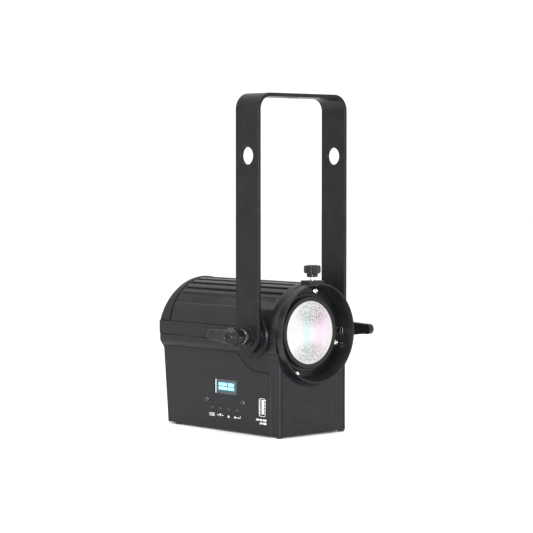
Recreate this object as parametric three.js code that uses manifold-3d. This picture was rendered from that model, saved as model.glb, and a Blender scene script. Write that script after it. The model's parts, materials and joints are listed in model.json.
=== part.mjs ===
// Compact hanging LED spot: a finned housing on a steel yoke, with a 50 mm front lens.
// Millimetres, +Z up. The lens looks along -Y and the display is on the -X side.
// Pieces are drawn in the lamp frame: z = 0 is the underside of the housing, and the
// yoke pivots about the X direction at y = 0. The exported group is moved at the end so
// that its origin is the bottom centre of the whole lamp.

import * as THREE from 'three';
import { mergeVertices } from 'three/addons/utils/BufferGeometryUtils.js';
import Module from 'manifold-3d';

const wasm = await Module();
wasm.setup();

// ---------------------------------------------------------------- driving dimensions

const GAP = 0.3;                 // clearance between neighbouring pieces
const ARC_STEPS = 40;            // segments in a full large circle
const SMALL_STEPS = 14;          // segments in a small round piece
const FAR = 200;                 // longer than the lamp, for cutting tools

const PIVOT_Z = 78;              // yoke axis above the housing's underside
const OPTIC_Z = 79.6;            // optical axis, also the centre of the round top

const BODY_HALF_WIDTH = 36.2;    // lower housing, across its raised side panels
const SKIN_HALF_WIDTH = 35;      // lower housing, between the panels and the front corners
const SHELL_R = 40;              // round top, outside
const SHELL_INNER_R = 37.6;
const FRONT_Y = -24.7;           // front face of the housing
const REAR_Y = 120;              // rear face, above the lean
const LEAN_TOP_Z = 67;           // the rear face leans forward below this height
const LEAN_BOTTOM_Y = 114;       // rear face at the underside
const TOP_RAKE = 0.215;          // how far the rear face runs forward for each mm above the rails
const WALL = 3;
const FRONT_WALL = 2.5;
const REAR_WALL = 2.6;
const REAR_RIM_Y = 104.8;        // seam between the round top and the rear cover
const SHOULDER_LOW_Z = 60;
const SHOULDER_HIGH_Z = 69.5;
const RAIL_Z = [73.3, 83.9];     // side rails
const RAIL_HALF_WIDTH = 40.7;
const PANEL_X = BODY_HALF_WIDTH;  // outer face of the side panels
const PANEL_FRONT_Y = -14;       // front edge of the side panels
const CORNER_POST = 2;           // width of the raised strip at each front corner

const SLOT_PITCH = 10.75;        // degrees between the grooves of the round top
const SLOTS_PER_SIDE = 4;
const SLOT_WIDTH = 2.1;
const SLOT_DEPTH = 1.5;
const SLOT_Y = [-15.6, 103.4];
const POCKET_ANGLES = [30, 45];  // wide groove above each side rail, degrees
const POCKET_DEPTH = 1.3;

const COLLAR_R = 38.9;
const COLLAR_INNER_R = 37;
const COLLAR_Y = [-30.9, -16.3];
const PAD = { width: 15, depth: 12, y: -23.5, top: 121 };
const PLATE_Y = [-16, -14];
const LENS_R = 27;
const LENS_OPEN_R = 24.95;
const LENS_SCREW_R = 34;
const LENS_SCREW_ANGLE = 73;     // the first of four screws, degrees above +X

const STUD_R = 3;
const STUD_HOLE_R = STUD_R + GAP;
const SPACER_R = 18.5;
const YOKE = { inner: 45.15, thick: 3, width: 26.7, top: 268.1, bend: 13, holeZ: 219, holeR: 6.9, clampR: 6.2 };
YOKE.outer = YOKE.inner + YOKE.thick;
const WASHER = { r: 8.5, x: [48.2, 49.2] };
const INSERT = { x: [49.5, 53.6], r: 5, toothDepth: 0.6, teeth: 18 };
const LEVER = { x: [53.9, 69], hubR: 5, headR: 7.5, headX: 62, reach: 26, tipR: 4.1, rootR: 5 };
const THUMB = { y: -23.5, studR: 1.8, head: [126.5, 133], headR: 6.7, collar: [123.7, 126.3], collarR: 4.4, teeth: 18 };

const DISPLAY = { y: [26, 53.9], z: [27.8, 40.1], windowY: [26.2, 58.6] };
const BUTTON = { firstY: 25.2, pitch: 10.2, count: 4, z: 16.5, r: 2.1, proud: 0.2 };
const USB = { y: -4.8, z: 21.5, width: 7.6, height: 14.6, wall: 0.5, x: [-36.4, -22.9] };
const PANEL_SCREWS = [[18.4, 23.2], [62.5, 22.7]];
const BOARD_X = [-22.6, -21];
const FOOT = { r: 2.4, height: 1.6, x: 33.5, y: [-22, 100.8] };

const LEAN = Math.atan((REAR_Y - LEAN_BOTTOM_Y) / LEAN_TOP_Z);
const XLR = { x: 17.5, s: 47, r: 9.4, flange: [26, 31], depth: 16 };
const INLET = { x: -11, s: 17, width: 27, height: 19.6, flange: [33, 25], depth: 20 };
const FUSE = { x: 21, s: 17, r: 6, capR: 7.6, depth: 22 };
const FAN = { y: [78.6, 88.6], size: 50, hubR: 9.5, bladeR: 22, blades: 7 };

// ---------------------------------------------------------------- solid helpers

const deg = THREE.MathUtils.degToRad;
const X = new THREE.Vector3(1, 0, 0);
const Y = new THREE.Vector3(0, 1, 0);
const Z = new THREE.Vector3(0, 0, 1);

function signedVolume(positions, index) {
  const a = new THREE.Vector3();
  const b = new THREE.Vector3();
  const c = new THREE.Vector3();
  let volume = 0;
  for (let i = 0; i < index.length; i += 3) {
    a.fromArray(positions, 3 * index[i]);
    b.fromArray(positions, 3 * index[i + 1]);
    c.fromArray(positions, 3 * index[i + 2]);
    volume += a.dot(b.cross(c)) / 6;
  }
  return volume;
}

// A closed three.js geometry as a solid with its faces pointing out.
function solid(geometry) {
  const bare = geometry.clone();
  bare.deleteAttribute('normal');
  bare.deleteAttribute('uv');
  const merged = mergeVertices(bare, 1e-4);
  const vertProperties = new Float32Array(merged.attributes.position.array);
  const triVerts = new Uint32Array(merged.index.array);
  if (signedVolume(vertProperties, triVerts) < 0) {
    for (let i = 0; i < triVerts.length; i += 3) {
      [triVerts[i], triVerts[i + 1]] = [triVerts[i + 1], triVerts[i]];
    }
  }
  const mesh = new wasm.Mesh({ numProp: 3, vertProperties, triVerts });
  mesh.merge();
  return new wasm.Manifold(mesh);
}

const join = (...solids) => solids.reduce((whole, next) => whole.add(next));
const cut = (body, ...tools) => tools.reduce((whole, tool) => whole.subtract(tool), body);

function block(x, y, z) {
  const geometry = new THREE.BoxGeometry(x[1] - x[0], y[1] - y[0], z[1] - z[0]);
  geometry.translate((x[0] + x[1]) / 2, (y[0] + y[1]) / 2, (z[0] + z[1]) / 2);
  return solid(geometry);
}

// Cylinders: axis along X, Y or Z, from one end to the other, through the point (a, b).
function rodX(r, x, y, z, steps = SMALL_STEPS) {
  const geometry = new THREE.CylinderGeometry(r, r, x[1] - x[0], steps);
  geometry.rotateZ(-Math.PI / 2).translate((x[0] + x[1]) / 2, y, z);
  return solid(geometry);
}

function rodY(r, y, x, z, steps = SMALL_STEPS) {
  const geometry = new THREE.CylinderGeometry(r, r, y[1] - y[0], steps);
  geometry.translate(x, (y[0] + y[1]) / 2, z);
  return solid(geometry);
}

function rodZ(r, z, x, y, steps = SMALL_STEPS) {
  const geometry = new THREE.CylinderGeometry(r, r, z[1] - z[0], steps);
  geometry.rotateX(Math.PI / 2).translate(x, y, (z[0] + z[1]) / 2);
  return solid(geometry);
}

// An outline drawn in (x, z) and carried along Y.
function alongY(shape, y, options = {}) {
  const settings = { depth: y[1] - y[0], bevelEnabled: false, curveSegments: 6, ...options };
  const geometry = new THREE.ExtrudeGeometry(shape, settings);
  geometry.rotateX(Math.PI / 2).translate(0, y[1], 0);
  return solid(geometry);
}

// An outline drawn in (y, z) and carried along X.
function alongX(shape, x, steps = 12) {
  const geometry = new THREE.ExtrudeGeometry(shape, { depth: x[1] - x[0], bevelEnabled: false, curveSegments: steps });
  geometry.applyMatrix4(new THREE.Matrix4().makeBasis(Y, Z, X)).translate(x[0], 0, 0);
  return solid(geometry);
}

// A profile of [radius, distance] points turned about an axis through the origin.
function turned(points, steps = ARC_STEPS) {
  return new THREE.LatheGeometry(points.map(([r, d]) => new THREE.Vector2(r, d)), steps);
}

const turnedAboutOptic = (points, steps) => solid(turned(points, steps).translate(0, 0, OPTIC_Z));

function polygon(points) {
  return new THREE.Shape(points.map(([a, b]) => new THREE.Vector2(a, b)));
}

function roundedRect(a, b, r) {
  const shape = new THREE.Shape();
  shape.moveTo(a[0] + r, b[0]);
  shape.lineTo(a[1] - r, b[0]);
  shape.absarc(a[1] - r, b[0] + r, r, -Math.PI / 2, 0);
  shape.lineTo(a[1], b[1] - r);
  shape.absarc(a[1] - r, b[1] - r, r, 0, Math.PI / 2);
  shape.lineTo(a[0] + r, b[1]);
  shape.absarc(a[0] + r, b[1] - r, r, Math.PI / 2, Math.PI);
  shape.lineTo(a[0], b[0] + r);
  shape.absarc(a[0] + r, b[0] + r, r, Math.PI, 1.5 * Math.PI);
  return shape;
}

// A wheel outline with shallow teeth, for knurled and serrated rims, centred at (0, high).
function toothedCircle(r, depth, teeth, high = 0) {
  const points = [];
  for (let i = 0; i < teeth; i += 1) {
    const step = (2 * Math.PI) / teeth;
    for (const [part, radius] of [[0.1, r], [0.45, r], [0.6, r - depth], [0.95, r - depth]]) {
      points.push([radius * Math.cos((i + part) * step), high + radius * Math.sin((i + part) * step)]);
    }
  }
  return polygon(points);
}

// ---------------------------------------------------------------- scene graph helpers

const finish = (color, roughness, metalness = 0) => new THREE.MeshStandardMaterial({ color, roughness, metalness });
const BLACK_PAINT = finish(0x2c2e33, 0.55, 0.3);
const YOKE_PAINT = finish(0x26282c, 0.6, 0.3);
const BLACK_PLASTIC = finish(0x1b1c1e, 0.4);
const RUBBER = finish(0x141414, 0.85);
const STEEL = finish(0xc8cacc, 0.3, 1);
const DARK_STEEL = finish(0x3a3b3d, 0.4, 0.9);
const ALUMINIUM = finish(0xb4b7ba, 0.45, 1);
const GLASS = finish(0xdfe8e6, 0.15);
const SCREEN = finish(0x0d2a33, 0.2);
const BOARD_GREEN = finish(0x16452c, 0.6);
const CERAMIC = finish(0xe9dc9a, 0.6);

const lamp = new THREE.Group();

function add(name, body, material, parent = lamp) {
  const mesh = body.getMesh();
  const geometry = new THREE.BufferGeometry();
  geometry.setAttribute('position', new THREE.BufferAttribute(new Float32Array(mesh.vertProperties), 3));
  geometry.setIndex(new THREE.BufferAttribute(new Uint32Array(mesh.triVerts), 1));
  const node = new THREE.Mesh(geometry, material);
  node.name = name;
  parent.add(node);
  return node;
}

const SIDES = [['left', -1], ['right', 1]];
const span = (side, a, b) => (side < 0 ? [-b, -a] : [a, b]);

// ---------------------------------------------------------------- housing

// Front view of the lower housing: straight sides, then a shoulder out to a wider top.
function housingOutline(straight, wide, low, high) {
  const shape = new THREE.Shape();
  shape.moveTo(-straight, low);
  shape.lineTo(straight, low);
  shape.lineTo(straight, SHOULDER_LOW_Z);
  shape.bezierCurveTo(straight, SHOULDER_LOW_Z + 4, wide, SHOULDER_HIGH_Z - 5, wide, SHOULDER_HIGH_Z);
  shape.lineTo(wide, high);
  shape.lineTo(-wide, high);
  shape.lineTo(-wide, SHOULDER_HIGH_Z);
  shape.bezierCurveTo(-wide, SHOULDER_HIGH_Z - 5, -straight, SHOULDER_LOW_Z + 4, -straight, SHOULDER_LOW_Z);
  return shape;
}

// The whole front view with the round top, for the rear cover.
function fullOutline() {
  const straight = BODY_HALF_WIDTH;
  const wide = SHELL_R;
  const shape = new THREE.Shape();
  shape.moveTo(-straight, 0);
  shape.lineTo(straight, 0);
  shape.lineTo(straight, SHOULDER_LOW_Z);
  shape.bezierCurveTo(straight, SHOULDER_LOW_Z + 4, wide, SHOULDER_HIGH_Z - 5, wide, SHOULDER_HIGH_Z);
  shape.absarc(0, OPTIC_Z, wide, 0, Math.PI);
  shape.lineTo(-wide, SHOULDER_HIGH_Z);
  shape.bezierCurveTo(-wide, SHOULDER_HIGH_Z - 5, -straight, SHOULDER_LOW_Z + 4, -straight, SHOULDER_LOW_Z);
  return shape;
}

// Everything behind the rear face moved forward by depth, as a cutting tool.
function behindRear(depth, top) {
  return alongX(polygon([
    [LEAN_BOTTOM_Y - depth - Math.tan(LEAN), -1],
    [FAR, -1],
    [FAR, top],
    [REAR_Y - depth, top],
    [REAR_Y - depth, LEAN_TOP_Z],
  ]), [-FAR, FAR]);
}

// The face above the rails, which rakes forward to the top, moved forward by depth.
function behindTop(depth) {
  const reach = FAR - RAIL_Z[1];
  return alongX(polygon([
    [REAR_Y - depth, RAIL_Z[1]],
    [FAR, RAIL_Z[1]],
    [FAR, FAR],
    [REAR_Y - depth - TOP_RAKE * reach, FAR],
  ]), [-FAR, FAR]);
}

// Side view of the raised panel: it runs to the rear and drops in a soft step at the front.
function panelShape() {
  const top = SHOULDER_LOW_Z + 1.5;
  const low = 49.5;
  const corner = 5;
  const shape = new THREE.Shape();
  shape.moveTo(PANEL_FRONT_Y, 0);
  shape.lineTo(FAR, 0);
  shape.lineTo(FAR, top);
  shape.lineTo(30, top);
  shape.bezierCurveTo(18, top, 18, low, 0, low);
  shape.lineTo(PANEL_FRONT_Y + corner, low);
  shape.absarc(PANEL_FRONT_Y + corner, low - corner, corner, Math.PI / 2, Math.PI);
  return shape;
}

const panelScrewHole = ([y, z]) => rodX(1.5, [-FAR, 0], y, z, 8);
const collarBore = rodY(COLLAR_R + GAP, [-FAR, COLLAR_Y[1] + GAP - 0.05], 0, OPTIC_Z, ARC_STEPS);
const cavity = rodY(SHELL_INNER_R, [-FAR, FAR], 0, OPTIC_Z, ARC_STEPS);
const buttonY = (i) => BUTTON.firstY + i * BUTTON.pitch;
const OVAL = { z: 17.5, halfWidth: 23, halfHeight: 10, proud: 0.6 };
const ovalEmboss = new THREE.Shape().absellipse(0, OVAL.z, OVAL.halfWidth, OVAL.halfHeight, 0, 2 * Math.PI);
const smoothArc = { curveSegments: ARC_STEPS / 2 };

const innerHalfWidth = BODY_HALF_WIDTH - WALL;
let lowerHousing = alongY(housingOutline(SKIN_HALF_WIDTH, SHELL_R, 0, RAIL_Z[0] - GAP), [FRONT_Y, FAR]);
lowerHousing = join(lowerHousing, alongY(ovalEmboss, [FRONT_Y - OVAL.proud, FRONT_Y + 1], smoothArc));
for (const [, side] of SIDES) {
  const across = span(side, innerHalfWidth, BODY_HALF_WIDTH);
  lowerHousing = join(
    lowerHousing,
    alongX(panelShape(), across),
    block(across, [FRONT_Y, FRONT_Y + CORNER_POST], [0, SHOULDER_LOW_Z + 1.5]),
  );
}
lowerHousing = cut(
  lowerHousing,
  alongY(housingOutline(innerHalfWidth, SHELL_R - WALL, -1, FAR), [FRONT_Y + FRONT_WALL, FAR + 1]),
  behindRear(REAR_WALL + GAP, FAR),
  collarBore,
  cavity,
  block([-FAR, 0], DISPLAY.y, DISPLAY.z),
  block([-FAR, 0], [USB.y - USB.width / 2 - GAP, USB.y + USB.width / 2 + GAP],
    [USB.z - USB.height / 2 - GAP, USB.z + USB.height / 2 + GAP]),
  ...PANEL_SCREWS.map(panelScrewHole),
);
for (let i = 0; i < BUTTON.count; i += 1) {
  lowerHousing = cut(lowerHousing, rodX(BUTTON.r + GAP, [-FAR, 0], buttonY(i), BUTTON.z, 12));
}
add('lower_housing', lowerHousing, BLACK_PAINT);

const baseX = innerHalfWidth - GAP;
let basePlate = block([-baseX, baseX], [FRONT_Y + FRONT_WALL + GAP, LEAN_BOTTOM_Y - REAR_WALL - GAP], [0, 2]);
for (let i = 0; i < 5; i += 1) {
  basePlate = cut(basePlate, block([-16, 16], [34 + 8 * i, 37 + 8 * i], [-1, 3]));
}
add('base_plate', basePlate, BLACK_PAINT);

for (const [name, side] of SIDES) {
  for (const [place, y] of [['front', FOOT.y[0]], ['rear', FOOT.y[1]]]) {
    add(`foot_${place}_${name}`, rodZ(FOOT.r, [-FOOT.height, -0.02], side * FOOT.x, y, 16), RUBBER);
  }
}

// Round top: a half tube with long grooves between smooth bands at both ends.
function archShape(outer, inner, low) {
  const start = Math.asin((low - OPTIC_Z) / outer);
  const innerStart = Math.asin((low - OPTIC_Z) / inner);
  const shape = new THREE.Shape();
  shape.absarc(0, OPTIC_Z, outer, start, Math.PI - start);
  shape.absarc(0, OPTIC_Z, inner, Math.PI - innerStart, innerStart, true);
  return shape;
}

function groove(angle, width, depth) {
  const geometry = new THREE.BoxGeometry(2 * depth, SLOT_Y[1] - SLOT_Y[0], width);
  geometry.translate(SHELL_R, (SLOT_Y[0] + SLOT_Y[1]) / 2, 0).rotateY(-deg(angle)).translate(0, 0, OPTIC_Z);
  return solid(geometry);
}

function pocket(side) {
  const [low, high] = POCKET_ANGLES.map(deg);
  const from = side > 0 ? low : Math.PI - high;
  const to = side > 0 ? high : Math.PI - low;
  const shape = new THREE.Shape();
  shape.absarc(0, OPTIC_Z, SHELL_R + 2, from, to);
  shape.absarc(0, OPTIC_Z, SHELL_R - POCKET_DEPTH, to, from, true);
  return alongY(shape, SLOT_Y);
}

let topShell = alongY(archShape(SHELL_R, SHELL_INNER_R, RAIL_Z[1] + GAP), [FRONT_Y, REAR_RIM_Y - GAP],
  smoothArc);
topShell = cut(
  topShell,
  collarBore,
  block([-PAD.width / 2 - GAP, PAD.width / 2 + GAP], [-FAR, PAD.y + PAD.depth / 2 + GAP], [OPTIC_Z, FAR]),
  pocket(-1),
  pocket(1),
);
for (let i = 0; i < SLOTS_PER_SIDE; i += 1) {
  const offset = (i + 0.5) * SLOT_PITCH;
  topShell = cut(topShell, groove(90 - offset, SLOT_WIDTH, SLOT_DEPTH), groove(90 + offset, SLOT_WIDTH, SLOT_DEPTH));
}
add('top_shell', topShell, BLACK_PAINT);

for (const [name, side] of SIDES) {
  const rail = cut(
    block(span(side, 34, RAIL_HALF_WIDTH), [FRONT_Y, REAR_Y - REAR_WALL - GAP], RAIL_Z),
    collarBore,
    cavity,
    rodX(STUD_HOLE_R, [-FAR, FAR], 0, PIVOT_Z),
  );
  add(`side_rail_${name}`, rail, BLACK_PAINT);
}

// Rear cover: a rounded cap over the end of the round top, and the leaning connector panel below.
const leaning = new THREE.Group();
leaning.position.set(0, LEAN_BOTTOM_Y, 0);
leaning.rotation.x = -LEAN;
leaning.updateMatrix();
lamp.add(leaning);

// A box or rod given in the leaning panel's own frame, as a tool in the lamp frame.
const inLampFrame = (geometry) => solid(geometry.applyMatrix4(leaning.matrix));

function panelBox(x, s, width, height) {
  return inLampFrame(new THREE.BoxGeometry(width, 30, height).translate(x, 0, s));
}

function panelHole(x, s, r) {
  return inLampFrame(new THREE.CylinderGeometry(r, r, 30, ARC_STEPS / 2).translate(x, 0, s));
}

const rearBevel = { bevelEnabled: true, bevelThickness: 3, bevelSize: 3, bevelOffset: -3, bevelSegments: 2, curveSegments: 16 };
let rearCover = alongY(fullOutline(), [REAR_RIM_Y, REAR_Y - 3], rearBevel);
const insideOfTop = rodY(SHELL_INNER_R, [0, REAR_Y - REAR_WALL], 0, OPTIC_Z, ARC_STEPS)
  .intersect(block([-FAR, FAR], [0, FAR], [RAIL_Z[1], FAR]));
rearCover = cut(
  rearCover,
  block([-FAR, FAR], [0, REAR_RIM_Y], [-FAR, FAR]),
  cut(insideOfTop, behindTop(REAR_WALL)),
  behindTop(0),
  alongX(polygon([
    [0, -1],
    [LEAN_BOTTOM_Y - REAR_WALL - Math.tan(LEAN), -1],
    [REAR_Y - REAR_WALL, LEAN_TOP_Z],
    [REAR_Y - REAR_WALL, RAIL_Z[1] + GAP],
    [0, RAIL_Z[1] + GAP],
  ]), [-FAR, FAR]),
  behindRear(0, LEAN_TOP_Z),
  panelHole(-XLR.x, XLR.s, XLR.r + GAP),
  panelHole(XLR.x, XLR.s, XLR.r + GAP),
  panelBox(INLET.x, INLET.s, INLET.width + 2 * GAP, INLET.height + 2 * GAP),
  panelHole(FUSE.x, FUSE.s, FUSE.r + GAP),
);
const VENT = { z: 94, r: 23, pitch: 6, height: 3, rows: 7 };
for (let i = 0; i < VENT.rows; i += 1) {
  const rise = (i - (VENT.rows - 1) / 2) * VENT.pitch;
  const half = Math.sqrt(VENT.r ** 2 - rise ** 2);
  rearCover = cut(rearCover, block([-half, half], [REAR_RIM_Y + 2, FAR],
    [VENT.z + rise - VENT.height / 2, VENT.z + rise + VENT.height / 2]));
}
add('rear_cover', rearCover, BLACK_PAINT);

// ---------------------------------------------------------------- rear connectors, in the leaning frame

function flangePlate(x, s, [width, height], r) {
  return alongY(roundedRect([x - width / 2, x + width / 2], [s - height / 2, s + height / 2], r),
    [GAP, GAP + 1.8], { curveSegments: 3 });
}

function xlrSocket(x, male) {
  let socket = join(flangePlate(x, XLR.s, XLR.flange, 2), rodY(XLR.r, [-XLR.depth, 1], x, XLR.s, ARC_STEPS / 2));
  const pins = [90, 210, 330].map((a) => [x + 4 * Math.cos(deg(a)), XLR.s + 4 * Math.sin(deg(a))]);
  if (male) {
    socket = cut(socket, rodY(8.2, [-12, 9], x, XLR.s, ARC_STEPS / 2));
    return join(socket, ...pins.map(([px, ps]) => rodY(1.2, [-13, -1.5], px, ps, 8)));
  }
  socket = cut(socket, rodY(8.9, [-1.2, 9], x, XLR.s, ARC_STEPS / 2));
  return cut(socket, ...pins.map(([px, ps]) => rodY(1.3, [-10, 9], px, ps, 8)));
}

add('dmx_in', xlrSocket(-XLR.x, true), DARK_STEEL, leaning);
add('dmx_out', xlrSocket(XLR.x, false), DARK_STEEL, leaning);

const inletX = [INLET.x - INLET.width / 2, INLET.x + INLET.width / 2];
const inletS = [INLET.s - INLET.height / 2, INLET.s + INLET.height / 2];
let inlet = join(
  flangePlate(INLET.x, INLET.s, INLET.flange, 3),
  block(inletX, [-INLET.depth, 1], inletS),
);
inlet = cut(inlet, alongY(polygon([
  [inletX[0] + 1.5, inletS[0] + 1.5],
  [inletX[1] - 1.5, inletS[0] + 1.5],
  [inletX[1] - 1.5, inletS[1] - 5],
  [inletX[1] - 5, inletS[1] - 1.5],
  [inletX[0] + 5, inletS[1] - 1.5],
  [inletX[0] + 1.5, inletS[1] - 5],
]), [-15, 9]));
const bladeY = [-16, -3];
for (const [dx, ds] of [[-7, -1.5], [0, 2.5], [7, -1.5]]) {
  inlet = join(inlet, block([INLET.x + dx - 1, INLET.x + dx + 1], bladeY, [INLET.s + ds - 2, INLET.s + ds + 2]));
}
add('mains_inlet', inlet, BLACK_PLASTIC, leaning);

const fuse = cut(
  join(rodY(FUSE.r, [-FUSE.depth, 1], FUSE.x, FUSE.s), rodY(FUSE.capR, [GAP, 4.5], FUSE.x, FUSE.s)),
  block([FUSE.x - 4, FUSE.x + 4], [3.5, 9], [FUSE.s - 0.7, FUSE.s + 0.7]),
);
add('fuse_holder', fuse, BLACK_PLASTIC, leaning);

// ---------------------------------------------------------------- front optics

let collar = cut(
  rodY(COLLAR_R, COLLAR_Y, 0, OPTIC_Z, ARC_STEPS),
  rodY(COLLAR_INNER_R, [-FAR, FAR], 0, OPTIC_Z, ARC_STEPS),
);
const padBottom = OPTIC_Z + COLLAR_INNER_R + 0.9;
collar = join(collar, cut(
  block([-PAD.width / 2, PAD.width / 2], [PAD.y - PAD.depth / 2, PAD.y + PAD.depth / 2], [padBottom, PAD.top]),
  rodY(COLLAR_INNER_R, [-FAR, FAR], 0, OPTIC_Z, ARC_STEPS),
));
const latchSlot = block([0, FAR], [-20, -17.5], [PIVOT_Z - 2, PIVOT_Z + 3.5]);
collar = cut(collar, rodZ(THUMB.studR + GAP, [OPTIC_Z, FAR], 0, THUMB.y), latchSlot);
add('front_collar', collar, BLACK_PAINT);

const screwPlace = (i) => {
  const angle = deg(LENS_SCREW_ANGLE + 90 * i);
  return [LENS_SCREW_R * Math.cos(angle), OPTIC_Z + LENS_SCREW_R * Math.sin(angle)];
};
let lensPlate = cut(
  rodY(SHELL_INNER_R - GAP, PLATE_Y, 0, OPTIC_Z, ARC_STEPS),
  rodY(24, [-FAR, FAR], 0, OPTIC_Z, ARC_STEPS),
);
for (let i = 0; i < 4; i += 1) {
  const [x, z] = screwPlace(i);
  lensPlate = cut(lensPlate, rodY(1.4 + GAP, [-FAR, FAR], x, z, 8));
}
add('lens_plate', lensPlate, BLACK_PAINT);

for (let i = 0; i < 4; i += 1) {
  const [x, z] = screwPlace(i);
  const screw = cut(
    join(rodY(1.4, [-17, -11], x, z, 8), rodY(2.5, [-17.9, PLATE_Y[0] - 0.05], x, z, 12)),
    block([x - 1.6, x + 1.6], [-20, -17.1], [z - 0.35, z + 0.35]),
    block([x - 0.35, x + 0.35], [-20, -17.1], [z - 1.6, z + 1.6]),
  );
  add(`lens_plate_screw_${i + 1}`, screw, STEEL);
}

const lensBack = PLATE_Y[0] - GAP;
const lensEdge = -20.2;
add('lens_retainer', turnedAboutOptic([
  [LENS_OPEN_R, -21.6], [28.6, -21.6], [28.6, -17.8], [31, -17.8], [31, lensBack],
  [LENS_R + GAP, lensBack], [LENS_R + GAP, lensEdge - GAP], [LENS_OPEN_R, lensEdge - GAP], [LENS_OPEN_R, -21.6],
]), BLACK_PAINT);

const domeHeight = 3.2;
const domeR = LENS_OPEN_R - GAP;
const sphereR = (domeR ** 2 + domeHeight ** 2) / (2 * domeHeight);
const DOME_RINGS = 4;
const dome = [];
for (let i = 0; i <= DOME_RINGS; i += 1) {
  const r = domeR * (1 - i / DOME_RINGS);
  dome.push([r, lensEdge - domeHeight + sphereR - Math.sqrt(sphereR ** 2 - r ** 2)]);
}
add('front_lens', turnedAboutOptic([[0, lensBack], [LENS_R, lensBack], [LENS_R, lensEdge], ...dome]), GLASS);

// ---------------------------------------------------------------- light source and cooling

const LED_Y = 32;
add('light_tube', turnedAboutOptic([
  [23.4, PLATE_Y[1] + GAP], [24.6, PLATE_Y[1] + GAP], [14.4, LED_Y - 4], [13.2, LED_Y - 4], [23.4, PLATE_Y[1] + GAP],
], 24), ALUMINIUM);
add('led_emitter', turnedAboutOptic([[0, LED_Y - 1.2], [7, LED_Y - 1.2], [8, LED_Y], [8, LED_Y + 0.9], [0, LED_Y + 0.9]], 16), CERAMIC);
add('led_board', block([-15, 15], [LED_Y + 1, LED_Y + 2.6], [OPTIC_Z - 15, OPTIC_Z + 15]), ALUMINIUM);

const sinkY = [LED_Y + 2.9, 78];
let heatSink = block([-25, 25], [sinkY[0], sinkY[0] + 5], [OPTIC_Z - 25, OPTIC_Z + 25]);
for (let i = 0; i < 9; i += 1) {
  const x = -25 + i * 6;
  heatSink = join(heatSink, block([x, x + 2], [sinkY[0] + 4, sinkY[1]], [OPTIC_Z - 25, OPTIC_Z + 25]));
}
add('heat_sink', heatSink, ALUMINIUM);

const fanHalf = FAN.size / 2;
let fanFrame = cut(
  alongY(roundedRect([-fanHalf, fanHalf], [OPTIC_Z - fanHalf, OPTIC_Z + fanHalf], 3), FAN.y, { curveSegments: 3 }),
  rodY(FAN.bladeR + 1, [-FAR, FAR], 0, OPTIC_Z, 28),
);
fanFrame = join(
  fanFrame,
  rodY(8, [FAN.y[1] - 1.5, FAN.y[1]], 0, OPTIC_Z),
  block([-FAN.bladeR - 2, FAN.bladeR + 2], [FAN.y[1] - 1.5, FAN.y[1]], [OPTIC_Z - 1.5, OPTIC_Z + 1.5]),
  block([-1.5, 1.5], [FAN.y[1] - 1.5, FAN.y[1]], [OPTIC_Z - FAN.bladeR - 2, OPTIC_Z + FAN.bladeR + 2]),
);
add('fan_frame', fanFrame, BLACK_PLASTIC);

let rotor = rodY(FAN.hubR, [FAN.y[0] + 0.8, FAN.y[1] - 2], 0, OPTIC_Z);
for (let i = 0; i < FAN.blades; i += 1) {
  const blade = new THREE.BoxGeometry(FAN.bladeR - FAN.hubR + 1, 1.2, 9);
  blade.rotateX(deg(38)).translate((FAN.bladeR + FAN.hubR - 1) / 2, 0, 0);
  blade.rotateY((i * 2 * Math.PI) / FAN.blades).translate(0, FAN.y[0] + 4.4, OPTIC_Z);
  rotor = join(rotor, solid(blade));
}
add('fan_rotor', rotor, BLACK_PLASTIC);

let supply = block([-14, 28], [6, 96], [6, 7.6]);
for (const [x, y, z] of [
  [[-10, 8], [14, 34], 30], [[12, 24], [10, 30], 24], [[-10, 24], [42, 62], 22], [[-8, 4], [70, 88], 28], [[10, 22], [70, 84], 26],
]) {
  supply = join(supply, block(x, y, [7, z]));
}
add('power_supply', supply, BOARD_GREEN);

// ---------------------------------------------------------------- side controls

add('control_board', cut(
  block(BOARD_X, [-14, 70], [8, 44]),
  rodX(1.5, [-FAR, 0], PANEL_SCREWS[0][0], PANEL_SCREWS[0][1], 8),
  rodX(1.5, [-FAR, 0], PANEL_SCREWS[1][0], PANEL_SCREWS[1][1], 8),
), BOARD_GREEN);

const innerWallX = -innerHalfWidth;
const windowX = [innerWallX + 0.1, innerWallX + 1.1];
const [windowLow, windowHigh] = DISPLAY.windowY;
add('display_window', block(windowX, [windowLow, windowHigh], [DISPLAY.z[0] - 1.4, DISPLAY.z[1] + 1.4]), GLASS);
add('display_module', block([windowX[1] + 0.1, windowX[1] + 3.6], [windowLow - 0.6, windowHigh + 0.6],
  [DISPLAY.z[0] - 2, DISPLAY.z[1] + 2]), SCREEN);

for (let i = 0; i < BUTTON.count; i += 1) {
  const cap = rodX(BUTTON.r, [-PANEL_X - BUTTON.proud, innerWallX + 1.5], buttonY(i), BUTTON.z, 12);
  const flange = rodX(3.2, [innerWallX + 0.3, innerWallX + 1.2], buttonY(i), BUTTON.z, 12);
  const stem = rodX(1.2, [innerWallX + 1, BOARD_X[0] - 0.9], buttonY(i), BUTTON.z, 6);
  add(`menu_button_${i + 1}`, join(cap, flange, stem), BLACK_PLASTIC);
}

const usbY = [USB.y - USB.width / 2, USB.y + USB.width / 2];
const usbZ = [USB.z - USB.height / 2, USB.z + USB.height / 2];
add('usb_shell', cut(
  block(USB.x, usbY, usbZ),
  block([-FAR, USB.x[1] - 1], [usbY[0] + USB.wall, usbY[1] - USB.wall], [usbZ[0] + USB.wall, usbZ[1] - USB.wall]),
), STEEL);
add('usb_tongue', block([USB.x[0] + 1.5, USB.x[1] - 1 - GAP], [USB.y + 0.4, USB.y + 2.2], [usbZ[0] + 1.6, usbZ[1] - 1.6]), GLASS);

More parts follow.
